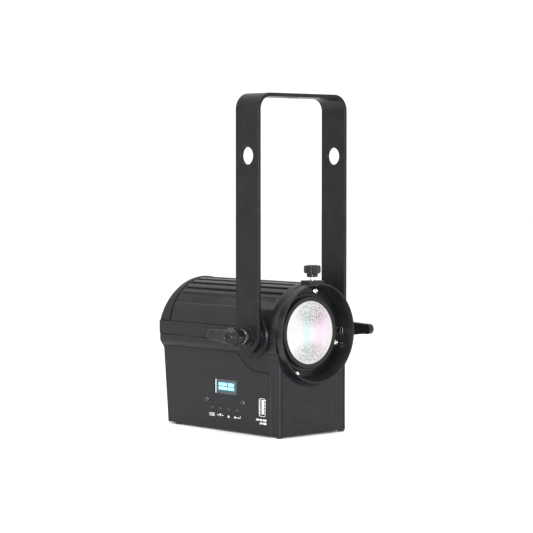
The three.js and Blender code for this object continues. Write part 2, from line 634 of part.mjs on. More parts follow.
PANEL_SCREWS.forEach(([y, z], i) => {
  const head = rodX(2.5, [-PANEL_X - 0.9, -PANEL_X - 0.05], y, z, 12);
  const shank = rodX(1.2, [-PANEL_X - 0.5, -19], y, z, 8);
  add(`side_panel_screw_${i + 1}`, cut(
    join(head, shank),
    block([-FAR, -PANEL_X - 0.4], [y - 1.6, y + 1.6], [z - 0.35, z + 0.35]),
    block([-FAR, -PANEL_X - 0.4], [y - 0.35, y + 0.35], [z - 1.6, z + 1.6]),
  ), DARK_STEEL);
});

// ---------------------------------------------------------------- yoke and its clamps

function yokeShape() {
  const { inner, outer, top, bend, thick } = YOKE;
  const low = PIVOT_Z - YOKE.width / 2;
  const innerBend = bend - thick;
  const shape = new THREE.Shape();
  shape.moveTo(-outer, low);
  shape.lineTo(-inner, low);
  shape.lineTo(-inner, top - bend);
  shape.absarc(-inner + innerBend, top - bend, innerBend, Math.PI, Math.PI / 2, true);
  shape.lineTo(inner - innerBend, top - thick);
  shape.absarc(inner - innerBend, top - bend, innerBend, Math.PI / 2, 0, true);
  shape.lineTo(inner, low);
  shape.lineTo(outer, low);
  shape.lineTo(outer, top - bend);
  shape.absarc(outer - bend, top - bend, bend, 0, Math.PI / 2);
  shape.lineTo(-outer + bend, top);
  shape.absarc(-outer + bend, top - bend, bend, Math.PI / 2, Math.PI);
  return shape;
}

function armShape() {
  const half = YOKE.width / 2;
  const shape = new THREE.Shape();
  shape.absarc(0, PIVOT_Z, half, Math.PI, 2 * Math.PI);
  shape.lineTo(half, YOKE.top + 5);
  shape.lineTo(-half, YOKE.top + 5);
  return shape;
}

const yoke = cut(
  alongY(yokeShape(), [-YOKE.width / 2, YOKE.width / 2], { curveSegments: 5 }).intersect(alongX(armShape(), [-FAR, FAR], 14)),
  rodX(STUD_HOLE_R, [-FAR, FAR], 0, PIVOT_Z),
  rodX(YOKE.holeR, [-FAR, FAR], 0, YOKE.holeZ, 24),
  rodZ(YOKE.clampR, [YOKE.top - 10, YOKE.top + 10], 0, 0, 24),
);
add('yoke', yoke, YOKE_PAINT);

function leverShape(direction) {
  const { reach, tipR, rootR } = LEVER;
  const tipY = direction * (reach - tipR);
  const shape = new THREE.Shape();
  shape.moveTo(0, PIVOT_Z - rootR);
  shape.lineTo(tipY, PIVOT_Z + 1 - tipR);
  shape.absarc(tipY, PIVOT_Z + 1, tipR, -Math.PI / 2, Math.PI / 2, direction < 0);
  shape.lineTo(0, PIVOT_Z + rootR + 1);
  return shape;
}

for (const [name, side] of SIDES) {
  const bore = rodX(STUD_HOLE_R, [-FAR, FAR], 0, PIVOT_Z);
  const disc = cut(rodX(SPACER_R, span(side, RAIL_HALF_WIDTH + 0.2, YOKE.inner - 0.2), 0, PIVOT_Z, 28), bore);
  add(`yoke_spacer_${name}`, disc, RUBBER);
  add(`yoke_washer_${name}`, cut(rodX(WASHER.r, span(side, ...WASHER.x), 0, PIVOT_Z, 20), bore), STEEL);
  add(`pivot_stud_${name}`, rodX(STUD_R, span(side, 33, 63), 0, PIVOT_Z), STEEL);
  const teeth = alongX(toothedCircle(INSERT.r, INSERT.toothDepth, INSERT.teeth, PIVOT_Z), span(side, ...INSERT.x));
  add(`clamp_insert_${name}`, cut(teeth, bore), DARK_STEEL);

  const lever = cut(
    join(
      rodX(LEVER.hubR, span(side, LEVER.x[0], LEVER.headX + 1), 0, PIVOT_Z),
      rodX(LEVER.headR, span(side, LEVER.headX, LEVER.x[1]), 0, PIVOT_Z + 0.5, 20),
      alongX(leverShape(-side), span(side, LEVER.headX + 0.5, LEVER.headX + 5.5), 6),
    ),
    rodX(STUD_HOLE_R, span(side, 0, 64), 0, PIVOT_Z),
    rodX(2.8, span(side, 60, 80), 0, PIVOT_Z),
  );
  add(`clamp_lever_${name}`, lever, BLACK_PLASTIC);
  add(`lever_screw_${name}`, cut(
    rodX(2.5, span(side, 64, 68.4), 0, PIVOT_Z, 12),
    block(span(side, 67.4, 80), [-1.6, 1.6], [PIVOT_Z - 0.4, PIVOT_Z + 0.4]),
  ), STEEL);
}

// ---------------------------------------------------------------- thumbscrew on the collar

const knobOutline = new THREE.ExtrudeGeometry(toothedCircle(THUMB.headR, 0.8, THUMB.teeth),
  { depth: THUMB.head[1] - THUMB.head[0], bevelEnabled: false });
knobOutline.translate(0, THUMB.y, THUMB.head[0]);
const studBore = rodZ(THUMB.studR + GAP, [OPTIC_Z, THUMB.head[0] + 3], 0, THUMB.y, 12);
add('thumbscrew_knob', cut(solid(knobOutline), studBore), BLACK_PLASTIC);
add('thumbscrew_collar', cut(rodZ(THUMB.collarR, THUMB.collar, 0, THUMB.y), studBore), BLACK_PLASTIC);
add('thumbscrew_stud', rodZ(THUMB.studR, [OPTIC_Z + COLLAR_INNER_R - 1.2, THUMB.head[0] + 2.7], 0, THUMB.y, 12), STEEL);

// ---------------------------------------------------------------- origin at the bottom centre

const bounds = new THREE.Box3().setFromObject(lamp);
lamp.position.set(0, -(bounds.min.y + bounds.max.y) / 2, -bounds.min.z);
const followSpot = new THREE.Group();
followSpot.add(lamp);

export default followSpot;
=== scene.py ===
"""Looks of a compact LED spot on a yoke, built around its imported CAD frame.

Pieces are modelled in millimetres in the lamp frame: x across, -y towards the lens, z up from the
underside of the housing, with the yoke pivot at y = 0. put() moves each one into the row frame.
"""

import json
from math import asin, atan, cos, degrees, hypot, pi, radians, sin, sqrt, tan

import bmesh
import bpy
from mathutils import Matrix, Vector


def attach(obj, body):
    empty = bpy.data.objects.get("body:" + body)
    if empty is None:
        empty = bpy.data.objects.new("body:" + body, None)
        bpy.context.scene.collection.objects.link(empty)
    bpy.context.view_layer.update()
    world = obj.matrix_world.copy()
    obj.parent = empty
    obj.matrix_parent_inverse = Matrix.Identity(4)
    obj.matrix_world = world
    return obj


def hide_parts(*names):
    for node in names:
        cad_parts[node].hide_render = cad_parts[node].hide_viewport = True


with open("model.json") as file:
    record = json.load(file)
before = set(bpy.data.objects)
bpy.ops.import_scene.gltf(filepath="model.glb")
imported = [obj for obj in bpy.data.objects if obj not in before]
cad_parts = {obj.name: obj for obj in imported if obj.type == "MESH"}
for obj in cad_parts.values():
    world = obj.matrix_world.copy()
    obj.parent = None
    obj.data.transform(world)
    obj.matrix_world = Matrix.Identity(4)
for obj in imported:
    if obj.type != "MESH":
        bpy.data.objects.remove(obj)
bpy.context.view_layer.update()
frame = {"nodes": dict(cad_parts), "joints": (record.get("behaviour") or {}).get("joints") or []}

MM = 0.001
FAR = 300.0

# ---------------------------------------- driving dimensions, mm

PIVOT_Z = 78.0
OPTIC_Z = 79.6
BODY_HALF_WIDTH = 36.2
SKIN_HALF_WIDTH = 35.0
SHELL_R = 40.0
TOP_R = 39.5
SHELL_INNER_R = 37.6
FRONT_Y = -24.7
REAR_Y = 120.0
LEAN_TOP_Z = 67.0
LEAN_BOTTOM_Y = 114.0
LEAN = atan((REAR_Y - LEAN_BOTTOM_Y) / LEAN_TOP_Z)
TOP_RAKE = 0.215
WALL = 3.0
REAR_WALL = 2.6
REAR_RIM_Y = 104.8
SHOULDER_LOW_Z = 60.0
SHOULDER_HIGH_Z = 69.5
RAIL_Z = (73.3, 83.9)
RAIL_HALF_WIDTH = 40.7
PANEL_X = 36.2
INNER_X = BODY_HALF_WIDTH - WALL
COLLAR_R = 38.9
COLLAR_INNER_R = 37.0
COLLAR_Y = (-30.9, -16.3)
STUD_R = 3.0
GAP = 0.3
YOKE_INNER = 45.15
YOKE_OUTER = 48.15
YOKE_HALF_DEPTH = 13.35
YOKE_TOP = 268.1
YOKE_BEND = 13.0
YOKE_HOLE_Z = 219.0
SIDES = (("left", -1), ("right", 1))

tilt = next(j for j in frame["joints"] if j["name"] == "yoke_tilt")
LAMP_ORIGIN = Vector(tilt["pos_m"]) - Vector((0, 0, PIVOT_Z * MM))

# ---------------------------------------- mesh helpers, in mm


def mesh_object(name, verts, faces):
    mesh = bpy.data.meshes.new(name)
    mesh.from_pydata([tuple(v) for v in verts], [], faces)
    mesh.update()
    obj = bpy.data.objects.new(name, mesh)
    bpy.context.scene.collection.objects.link(obj)
    work = bmesh.new()
    work.from_mesh(mesh)
    bmesh.ops.remove_doubles(work, verts=work.verts, dist=1e-5)
    bmesh.ops.recalc_face_normals(work, faces=work.faces)
    work.to_mesh(mesh)
    work.free()
    return obj


def arc(centre, r, start, end, steps):
    """Points on an arc, angles in degrees, both ends included."""
    angles = [radians(start + (end - start) * i / steps) for i in range(steps + 1)]
    return [(centre[0] + r * cos(a), centre[1] + r * sin(a)) for a in angles]


def rounded(low, high, r, steps=6):
    """A rounded rectangle outline from its low and high corners."""
    corners = (
        ((high[0] - r, low[1] + r), -90),
        ((high[0] - r, high[1] - r), 0),
        ((low[0] + r, high[1] - r), 90),
        ((low[0] + r, low[1] + r), 180),
    )
    return [p for centre, start in corners for p in arc(centre, r, start, start + 90, steps)]


def bezier(a, b, c, d, steps):
    """A cubic curve from a to d, without its first point."""
    points = []
    for i in range(1, steps + 1):
        t = i / steps
        s = 1 - t
        weights = (s**3, 3 * s * s * t, 3 * s * t * t, t**3)
        points.append(tuple(sum(w * p[k] for w, p in zip(weights, (a, b, c, d))) for k in (0, 1)))
    return points


def at(axis, a, b, along):
    """The 3-D point of an outline point (a, b) at a distance along the axis."""
    return {"x": (along, a, b), "y": (a, along, b), "z": (a, b, along)}[axis]


def loft(name, rings, strips=False):
    """A closed skin through rings that all have the same number of points.

    The ends are flat faces, or strips between the two halves of a mirrored ring.
    """
    count = len(rings[0])
    verts = [p for ring in rings for p in ring]
    faces = []
    for k in range(len(rings) - 1):
        for i in range(count):
            j = (i + 1) % count
            faces.append((k * count + i, k * count + j, (k + 1) * count + j, (k + 1) * count + i))
    for first in (0, (len(rings) - 1) * count):
        if strips:
            faces += [(first + i, first + i + 1, first + count - 2 - i, first + count - 1 - i)
                      for i in range(count // 2 - 1)]
        else:
            faces.append(tuple(first + i for i in range(count)))
    return mesh_object(name, verts, faces)


def prism(name, outline, low, high, axis):
    return loft(name, [[at(axis, a, b, d) for a, b in outline] for d in (low, high)])


def circle(centre, r, count, start=0):
    """Evenly spaced points round a circle, from an angle in degrees."""
    return arc(centre, r, start, start + 360 - 360 / count, count - 1)


def centred(centre, half, r, steps=6):
    """A rounded rectangle outline from its centre and half sizes."""
    low = (centre[0] - half[0], centre[1] - half[1])
    high = (centre[0] + half[0], centre[1] + half[1])
    return rounded(low, high, r, steps)


def rod(name, r, low, high, centre, axis, steps=64):
    return prism(name, circle(centre, r, steps), low, high, axis)


def block(name, x, y, z):
    return prism(name, [(x[0], y[0]), (x[1], y[0]), (x[1], y[1]), (x[0], y[1])], z[0], z[1], "z")


def turned(name, profile, centre, axis, steps=128):
    """A closed profile of (radius, distance) turned about an axis through centre."""
    verts = []
    for k in range(steps):
        a = 2 * pi * k / steps
        for r, d in profile:
            verts.append(at(axis, centre[0] + r * cos(a), centre[1] + r * sin(a), d))
    count = len(profile)
    faces = []
    for k in range(steps):
        k2 = (k + 1) % steps
        for i in range(count):
            j = (i + 1) % count
            if profile[i][0] == 0 and profile[j][0] == 0:
                continue
            faces.append((k * count + i, k * count + j, k2 * count + j, k2 * count + i))
    obj = mesh_object(name, verts, faces)
    work = bmesh.new()
    work.from_mesh(obj.data)
    bmesh.ops.dissolve_degenerate(work, dist=1e-5, edges=work.edges)
    bmesh.ops.recalc_face_normals(work, faces=work.faces)
    work.to_mesh(obj.data)
    work.free()
    return obj


def optic_rod(name, r, low=-FAR, high=FAR):
    return rod(name, r, low, high, (0, OPTIC_Z), "y", 128)


def about_optic(name, profile, steps=160):
    return turned(name, profile, (0, OPTIC_Z), "y", steps)


def pivot_rod(name, r, low=-FAR, high=FAR, steps=64):
    return rod(name, r, low, high, (0, PIVOT_Z), "x", steps)


def outboard(name, side, profile, steps=96, centre=(0, PIVOT_Z)):
    """A profile of (radius, distance from the middle) turned about x on one side of the lamp."""
    return turned(name, [(r, side * d) for r, d in profile], centre, "x", steps)


def bake(obj):
    """Applies an object's modifiers to its mesh."""
    graph = bpy.context.evaluated_depsgraph_get()
    graph.update()
    mesh = bpy.data.meshes.new_from_object(obj.evaluated_get(graph))
    old = obj.data
    obj.modifiers.clear()
    obj.data = mesh
    bpy.data.meshes.remove(old)
    return obj


def combine(body, tools, operation):
    for tool in tools:
        step = body.modifiers.new("combine", "BOOLEAN")
        step.operation = operation
        step.solver = "EXACT"
        step.object = tool
    bake(body)
    for tool in tools:
        bpy.data.objects.remove(tool)
    return body


def cut(body, *tools):
    return combine(body, tools, "DIFFERENCE")


def join(body, *tools):
    return combine(body, tools, "UNION")


def soften(obj, passes, voxel):
    """Turns joined shapes into one moulded form with rounded inside corners."""
    remesh = obj.modifiers.new("remesh", "REMESH")
    remesh.mode = "VOXEL"
    remesh.voxel_size = voxel
    smooth = obj.modifiers.new("smooth", "SMOOTH")
    smooth.factor = 0.5
    smooth.iterations = passes
    return bake(obj)


def put(obj, material, bevel=0, steps=2, angle=38, node=None, body="housing"):
    """Finishes a piece: rounds its edges, shades it, moves it into the row frame and rides it.

    node is the CAD node that the piece takes the place of, and body is the body that it rides.
    """
    obj.data.materials.clear()
    obj.data.materials.append(material)
    for polygon in obj.data.polygons:
        polygon.use_smooth = True
    if bevel:
        edge = obj.modifiers.new("edge", "BEVEL")
        edge.width = bevel
        edge.segments = steps
        edge.limit_method = "ANGLE"
        edge.angle_limit = radians(angle)
        edge.use_clamp_overlap = False
        edge.harden_normals = True
        edge.miter_outer = "MITER_ARC"
        flatten = obj.modifiers.new("flatten", "WEIGHTED_NORMAL")
        flatten.mode = "FACE_AREA"
        flatten.weight = 80
        bake(obj)
    obj.data.transform(Matrix.Translation(LAMP_ORIGIN) @ Matrix.Scale(MM, 4))
    obj.data.update()
    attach(obj, body)
    if node:
        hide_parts(node)

# ---------------------------------------- materials


def set_inputs(node, **values):
    for name, value in values.items():
        node.inputs[name.replace("_", " ")].default_value = value


def bumped(tree, height, depth):
    """Lets a height output raise the surface by up to depth, in mm."""
    bump = tree.nodes.new("ShaderNodeBump")
    set_inputs(bump, Distance=depth * MM, Strength=1.0)
    tree.links.new(height, bump.inputs["Height"])
    tree.links.new(bump.outputs["Normal"], tree.nodes["Principled BSDF"].inputs["Normal"])


def grid_noise(tree, scale, detail=3.0, stretch=None):
    """Noise in the row frame; scale is in cells per metre, and stretch squeezes one axis."""
    nodes = tree.nodes
    where = nodes.new("ShaderNodeTexCoord").outputs["Object"]
    if stretch:
        mapping = nodes.new("ShaderNodeMapping")
        set_inputs(mapping, Scale=stretch)
        tree.links.new(where, mapping.inputs["Vector"])
        where = mapping.outputs["Vector"]
    noise = nodes.new("ShaderNodeTexNoise")
    set_inputs(noise, Scale=scale, Detail=detail)
    tree.links.new(where, noise.inputs["Vector"])
    return noise.outputs["Fac"]


def ramp(tree, value, stops):
    """A colour ramp of (position, colour) stops."""
    node = tree.nodes.new("ShaderNodeValToRGB")
    elements = node.color_ramp.elements
    while len(elements) < len(stops):
        elements.new(0.5)
    for element, (place, color) in zip(elements, stops):
        element.position = place
        element.color = (*color, 1)
    tree.links.new(value, node.inputs["Fac"])
    return node.outputs["Color"]


def spread(tree, value, low, high):
    """Maps the middle of a noise to low..high."""
    node = tree.nodes.new("ShaderNodeMapRange")
    set_inputs(node, From_Min=0.3, From_Max=0.7, To_Min=low, To_Max=high)
    tree.links.new(value, node.inputs["Value"])
    return node.outputs["Result"]


def mixed(tree, share, a, b, mode="MIX"):
    """One colour output laid over another by a share output."""
    node = tree.nodes.new("ShaderNodeMix")
    node.data_type = "RGBA"
    node.blend_type = mode
    tree.links.new(share, node.inputs["Factor"])
    tree.links.new(a, node.inputs["A"])
    tree.links.new(b, node.inputs["B"])
    return node.outputs["Result"]


def surface(name, colors, rough, patch=90, grain=5200, relief=0.012, stretch=None, **sockets):
    """A finish whose colour and gloss drift in soft patches, over a fine grain.

    colors and rough are the two ends of the drift; relief is the height of the grain in mm.
    """
    material = bpy.data.materials.new(name)
    material.use_nodes = True
    tree = material.node_tree
    shader = tree.nodes["Principled BSDF"]
    set_inputs(shader, **sockets)
    drift = grid_noise(tree, patch, 4.0, stretch)
    tree.links.new(ramp(tree, drift, [(0.35, colors[0]), (0.65, colors[1])]), shader.inputs["Base Color"])
    tree.links.new(spread(tree, drift, *rough), shader.inputs["Roughness"])
    if relief:
        bumped(tree, grid_noise(tree, grain, 2.0, stretch), relief)
    return material


def grey(value, tint=(1.0, 1.0, 1.0)):
    return tuple(value * t for t in tint)


def greys(low, high, tint=(1.0, 1.0, 1.0)):
    return grey(low, tint), grey(high, tint)


COOL = (0.94, 0.98, 1.13)
BLACK_PAINT = surface("black_paint", greys(0.0085, 0.012, COOL), (0.34, 0.46), relief=0.015,
                      Specular_IOR_Level=0.2)
SATIN_PAINT = surface("satin_paint", greys(0.007, 0.010, COOL), (0.28, 0.38), relief=0.01,
                      Specular_IOR_Level=0.25)
YOKE_PAINT = surface("yoke_paint", greys(0.006, 0.009, COOL), (0.30, 0.40), relief=0.010,
                     Specular_IOR_Level=0.17)
COLLAR_PAINT = surface("collar_paint", greys(0.0075, 0.0115, COOL), (0.30, 0.42), relief=0.012,
                       Specular_IOR_Level=0.25)
INNER_PAINT = surface("inner_paint", greys(0.005, 0.008, COOL), (0.20, 0.32), relief=0.008,
                      Specular_IOR_Level=0.25)
BLACK_PLASTIC = surface("black_plastic", greys(0.008, 0.012), (0.30, 0.42), relief=0.01)
GLOSS_PLASTIC = surface("gloss_plastic", greys(0.005, 0.008), (0.10, 0.18), relief=0.004,
                        Specular_IOR_Level=0.4)
# the spacer's own dark plastic, made darker still as painted shade for the shade between the yoke and the
# body
SPACER_PAINTED_SHADE = surface("spacer_painted_shade", greys(0.004, 0.006, COOL), (0.20, 0.30), relief=0.004,
                         Specular_IOR_Level=0.15)
LEVER_PLASTIC = surface("lever_plastic", greys(0.008, 0.012, COOL), (0.24, 0.34), grain=3800,
                        relief=0.008, Specular_IOR_Level=0.22)
WHITE_PLASTIC = surface("white_plastic", greys(0.70, 0.80), (0.35, 0.45), relief=0.006)
# white print for the labels, also used as a painted highlight on a wall of the display opening
WHITE_PRINT_AND_HIGHLIGHT = surface("white_print_and_highlight", greys(0.52, 0.66), (0.45, 0.60), patch=1400, relief=0.004)
RUBBER = surface("rubber", greys(0.010, 0.018), (0.62, 0.78), relief=0.03)
BRIGHT_STEEL = surface("bright_steel", greys(0.62, 0.78), (0.16, 0.30), patch=400, relief=0.005,
                       Metallic=1.0)
DARK_STEEL = surface("dark_steel", greys(0.045, 0.075), (0.28, 0.42), patch=300, relief=0.006,
                     Metallic=0.85)
ALUMINIUM = surface("aluminium", greys(0.55, 0.68), (0.26, 0.40), patch=160, relief=0.01,
                    stretch=(1.0, 0.12, 1.0), Metallic=1.0)
PHOSPHOR = surface("led_phosphor", ((0.80, 0.62, 0.16), (0.88, 0.70, 0.22)), (0.55, 0.70), patch=900)
CIRCUIT_BOARD = surface("circuit_board", ((0.010, 0.075, 0.032), (0.016, 0.105, 0.045)), (0.30, 0.42),
                        patch=700)
WINDOW = surface("clear_window", greys(0.015, 0.025), (0.05, 0.10), relief=0, Coat_Weight=0.6,
                 Coat_Roughness=0.03)
BEZEL = surface("screen_bezel", greys(0.05, 0.08, COOL), (0.35, 0.45), relief=0.004)


def lit_screen(name, colors, strength):
    """A lit face of the display, a little uneven as a cheap panel is."""
    material = surface(name, colors, (0.15, 0.25), patch=500, relief=0)
    tree = material.node_tree
    shader = tree.nodes["Principled BSDF"]
    tree.links.new(shader.inputs["Base Color"].links[0].from_socket, shader.inputs["Emission Color"])
    shader.inputs["Emission Strength"].default_value = strength
    return material


SCREEN = lit_screen("screen", ((0.004, 0.085, 0.110), (0.008, 0.120, 0.150)), 1.0)
GLYPH = lit_screen("screen_glyph", ((0.34, 0.78, 0.86), (0.46, 0.88, 0.94)), 1.0)


def spot(tree, offset, reach, sharp=2.0):
    """1 at a place on the lens, fading to 0 at its reach; both are (across, up) in mm."""
    nodes = tree.nodes
    mapping = nodes.new("ShaderNodeMapping")
    mapping.vector_type = "TEXTURE"
    centre = LAMP_ORIGIN + Vector((offset[0], 0, OPTIC_Z + offset[1])) * MM
    set_inputs(mapping, Location=centre, Scale=(reach[0] * MM, 1.0, reach[1] * MM))
    tree.links.new(nodes.new("ShaderNodeTexCoord").outputs["Object"], mapping.inputs["Vector"])
    gradient = nodes.new("ShaderNodeTexGradient")
    gradient.gradient_type = "SPHERICAL"
    tree.links.new(mapping.outputs["Vector"], gradient.inputs["Vector"])
    power = nodes.new("ShaderNodeMath")
    power.operation = "MULTIPLY"
    power.use_clamp = True
    power.inputs[1].default_value = sharp
    tree.links.new(gradient.outputs["Fac"], power.inputs[0])
    return power.outputs["Value"]


def product(tree, a, b):
    node = tree.nodes.new("ShaderNodeMath")
    node.operation = "MULTIPLY"
    node.use_clamp = True
    tree.links.new(a, node.inputs[0])
    tree.links.new(b, node.inputs[1])
    return node.outputs["Value"]


def painted_glow_lens_material():
    """Pebbled glass with a painted glow: a near white emitted colour with painted reflection tints across
    it, and dark speckle above and below.
    """
    warm = (0.93, 0.90, 0.88)
    material = surface("lens_glass", (warm, (0.97, 0.95, 0.93)), (0.10, 0.18), patch=260, relief=0,
                       Specular_IOR_Level=0.3, Coat_Weight=0.5, Coat_Roughness=0.03)
    tree = material.node_tree
    shader = tree.nodes["Principled BSDF"]
    color = shader.inputs["Base Color"].links[0].from_socket
    speckle = grid_noise(tree, 950, 5.0)
    # painted reflection tints: each is a place on the lens, its reach, its tint and how sharply it fades
    reflection_tints = (
        ((-5.5, 1.0), (7.0, 30.0), (0.60, 0.85, 0.86), 0.9),
        ((11.0, 7.5), (12.0, 17.0), (0.90, 0.62, 0.80), 1.1),
        ((10.0, -9.0), (12.0, 16.0), (0.92, 0.66, 0.80), 0.9),
        ((-17.0, 8.0), (14.0, 26.0), (0.86, 0.84, 0.92), 0.5),
    )
    for offset, reach, tint, strength in reflection_tints:
        wash = ramp(tree, speckle, [(0.30, tint), (0.70, tuple(min(1.0, c * 1.25) for c in tint))])
        color = mixed(tree, spot(tree, offset, reach, strength), color, wash)
    specks = ramp(tree, grid_noise(tree, 1500, 6.0), [(0.44, grey(0.0)), (0.60, grey(1.0))])
    dark = ramp(tree, speckle, [(0.30, grey(0.10)), (0.70, grey(0.30))])
    for offset, reach in (((2.0, 16.5), (21.0, 14.0)), ((0.0, -17.0), (20.0, 12.0))):
        color = mixed(tree, product(tree, specks, spot(tree, offset, reach, 1.9)), color, dark)
    # painted glow: the lens colour, with its tints and dark speckle, is emitted at a fixed strength
    tree.links.new(color, shader.inputs["Emission Color"])
    # the base colour is kept dark, so the painted glow gives the lens its brightness
    shade = ramp(tree, speckle, [(0.0, grey(0.02)), (1.0, grey(0.05))])
    dim = mixed(tree, speckle, shade, color, "MULTIPLY")
    tree.links.new(dim, shader.inputs["Base Color"])
    shader.inputs["Emission Strength"].default_value = 0.93
    pebbles = tree.nodes.new("ShaderNodeTexVoronoi")
    pebbles.feature = "SMOOTH_F1"
    pebbles.inputs["Scale"].default_value = 700
    tree.links.new(tree.nodes.new("ShaderNodeTexCoord").outputs["Object"], pebbles.inputs["Vector"])
    bumped(tree, pebbles.outputs["Distance"], 0.12)
    return material


LENS_PAINTED_GLOW = painted_glow_lens_material()

# ---------------------------------------- housing


def half_outline(straight, wide, low, high):
    """The right half of the front view as (x, z): a straight side, then the shoulder."""
    start = (straight, SHOULDER_LOW_Z)
    shoulder = bezier(start, (straight, SHOULDER_LOW_Z + 4), (wide, SHOULDER_HIGH_Z - 5),
                      (wide, SHOULDER_HIGH_Z), 10)
    return [(straight, low), start, *shoulder, (wide, high)]


def mirrored(half):
    """A whole outline from its right half."""
    return half + [(-x, z) for x, z in reversed(half)]


def quarter(r, steps):
    """(depth, inset) pairs round a quarter circle, from a face to the side behind it."""
    angles = [pi / 2 * i / steps for i in range(steps + 1)]
    return [(r * (1 - sin(a)), r * (1 - cos(a))) for a in reversed(angles)]


def behind_rear(depth):
    """Everything behind the leaning rear face moved forward by depth."""
    low_y = LEAN_BOTTOM_Y - depth - tan(LEAN)
    outline = [(low_y, -1), (FAR, -1), (FAR, FAR), (REAR_Y - depth, FAR), (REAR_Y - depth, LEAN_TOP_Z)]
    return prism("behind_rear", outline, -FAR, FAR, "x")


def collar_bore():
    return optic_rod("bore", COLLAR_R + GAP, -FAR, COLLAR_Y[1] + 0.25)


def side_panel(side):
    """A raised side panel with soft slopes: it runs to the rear and drops in a curve near the front."""
    rings = []
    for x, grow in ((33.5, 0.3), (35.0, 0.3), (35.2, 0.0), (35.65, -0.5), (36.0, -0.95), (36.2, -1.6)):
        front, corner, low, top = -14.0 - grow, 5.0 + grow, 49.5 + grow, 63.0
        outline = [(front, -2), (FAR, -2), (FAR, top), (30 - grow, top)]
        outline += bezier((30 - grow, top), (18 - grow, top), (18 - grow, low), (-grow, low), 16)
        outline += arc((front + corner, low - corner), corner, 90, 180, 8)
        rings.append([(side * x, y, z) for y, z in outline])
    return loft("side_panel", rings)


def corner_post(side):
    """The raised strip down a front corner."""
    r = 1.6
    inner = 33.4
    front, back = FRONT_Y, FRONT_Y + 1.9
    rounding = arc((PANEL_X - r, front + r), r, -90, 0, 8)
    outline = [(inner, front), *rounding, (PANEL_X, back), (SKIN_HALF_WIDTH - 0.1, back + 1.0),
               (inner, back + 1.0)]
    return prism("corner_post", [(side * x, y) for x, y in outline], -2, 62.6, "z")


DISPLAY_Y = (26.0, 53.9)
DISPLAY_Z = (27.8, 40.1)
BUTTON_YS = [25.2 + 10.2 * i for i in range(4)]
BUTTON_Z = 16.5
BUTTON_R = 2.1
USB_X = (-36.4, -22.9)
USB_Y = -4.8
USB_Z = 21.5
USB_HALF = (3.8, 7.3)
SCREW_PLACES = ((18.4, 23.2), (62.5, 22.7))
OVAL_Z = 17.5
OVAL_HALF = (23, 10)


def raised_oval():
    """The shallow oval on the front face."""
    angles = [2 * pi * i / 72 for i in range(72)]
    rings = []
    for y, grow in ((1.0, 0.2), (0.0, 0.2), (-0.15, 0.0), (-0.4, -0.45), (-0.55, -0.9), (-0.6, -1.4)):
        half_x, half_z = OVAL_HALF[0] + grow, OVAL_HALF[1] + grow
        rings.append([(half_x * cos(a), FRONT_Y + y, OVAL_Z + half_z * sin(a)) for a in angles])
    return loft("oval", rings)


def lower_housing():
    front_edge = [(FRONT_Y + depth, inset) for depth, inset in quarter(1.6, 6)]
    rings = []
    for y, inset in [*front_edge, (FAR, 0)]:
        outline = mirrored(half_outline(SKIN_HALF_WIDTH - inset, SHELL_R - inset, -2, RAIL_Z[0] - GAP))
        rings.append([(x, y, z) for x, z in outline])
    body = loft("lower_housing", rings)
    join(body, side_panel(-1), side_panel(1), corner_post(-1), corner_post(1), raised_oval())
    inside = mirrored(half_outline(INNER_X, SHELL_R - WALL, -3, FAR))
    cut(body, prism("inside", inside, FRONT_Y + 2.5, FAR + 1, "y"),
        block("below", (-FAR, FAR), (-FAR, FAR), (-3, 0)), behind_rear(REAR_WALL + GAP), collar_bore(),
        optic_rod("cavity", SHELL_INNER_R, -FAR, FAR + 2))
    step_back = FRONT_Y + 0.9
    ring_step = [(0, -FAR), (43.6, -FAR), (43.6, FRONT_Y), (41.4, step_back), (0, step_back)]
    lines = [block("line", (side * 33.35 - 0.25, side * 33.35 + 0.25), (-FAR, FRONT_Y + 0.45), (-3, 61))
             for side in (-1, 1)]
    cut(body, about_optic("ring_step", ring_step, 128), *lines)
    display = rounded((DISPLAY_Y[0], DISPLAY_Z[0]), (DISPLAY_Y[1], DISPLAY_Z[1]), 0.8)
    port = centred((USB_Y, USB_Z), (USB_HALF[0] + GAP, USB_HALF[1] + GAP), 1.9)
    tools = [prism("display_cut", display, -FAR, 0, "x"), prism("usb_cut", port, -FAR, 0, "x")]
    tools += [rod("screw_cut", 1.5, -FAR, 0, place, "x", 32) for place in SCREW_PLACES]
    tools += [rod("button_cut", BUTTON_R + GAP, -FAR, 0, (y, BUTTON_Z), "x", 48) for y in BUTTON_YS]
    cut(body, *tools)
    put(body, BLACK_PAINT, 0.3, node="lower_housing")


def base_plate():
    half = INNER_X - GAP
    outline = rounded((-half, FRONT_Y + 2.8), (half, LEAN_BOTTOM_Y - REAR_WALL - GAP), 1.0, 3)
    plate = prism("base_plate", outline, 0, 2, "z")
    for i in range(5):
        y = 34 + 8 * i
        cut(plate, prism("base_vent", rounded((-16, y), (16, y + 3), 1.45), -1, 3, "z"))
    put(plate, BLACK_PAINT, 0.3, node="base_plate")
    foot = [(0, -0.02), (2.4, -0.02), (2.4, -1.1), (2.2, -1.45), (1.8, -1.6), (0, -1.6)]
    for name, side in SIDES:
        for place, y in (("front", -22), ("rear", 100.8)):
            node = f"foot_{place}_{name}"
            put(turned(node, foot, (side * 33.5, y), "z", 48), RUBBER, node=node)


def smooth_step(x):
    x = max(0.0, min(1.0, x))
    return x * x * (3 - 2 * x)


GROOVES = [90 + side * (i + 0.5) * 10.75 for i in range(4) for side in (-1, 1)]
GROOVE_HALF = degrees(1.05 / TOP_R)
EDGE = degrees(0.18 / TOP_R)
CHAMFER = degrees(1.4 / TOP_R)
CHAMFER_FALL = 0.45
POCKETS = ((30, 45), (135, 150))
SLOT_ENDS = (-15.6, 103.4)


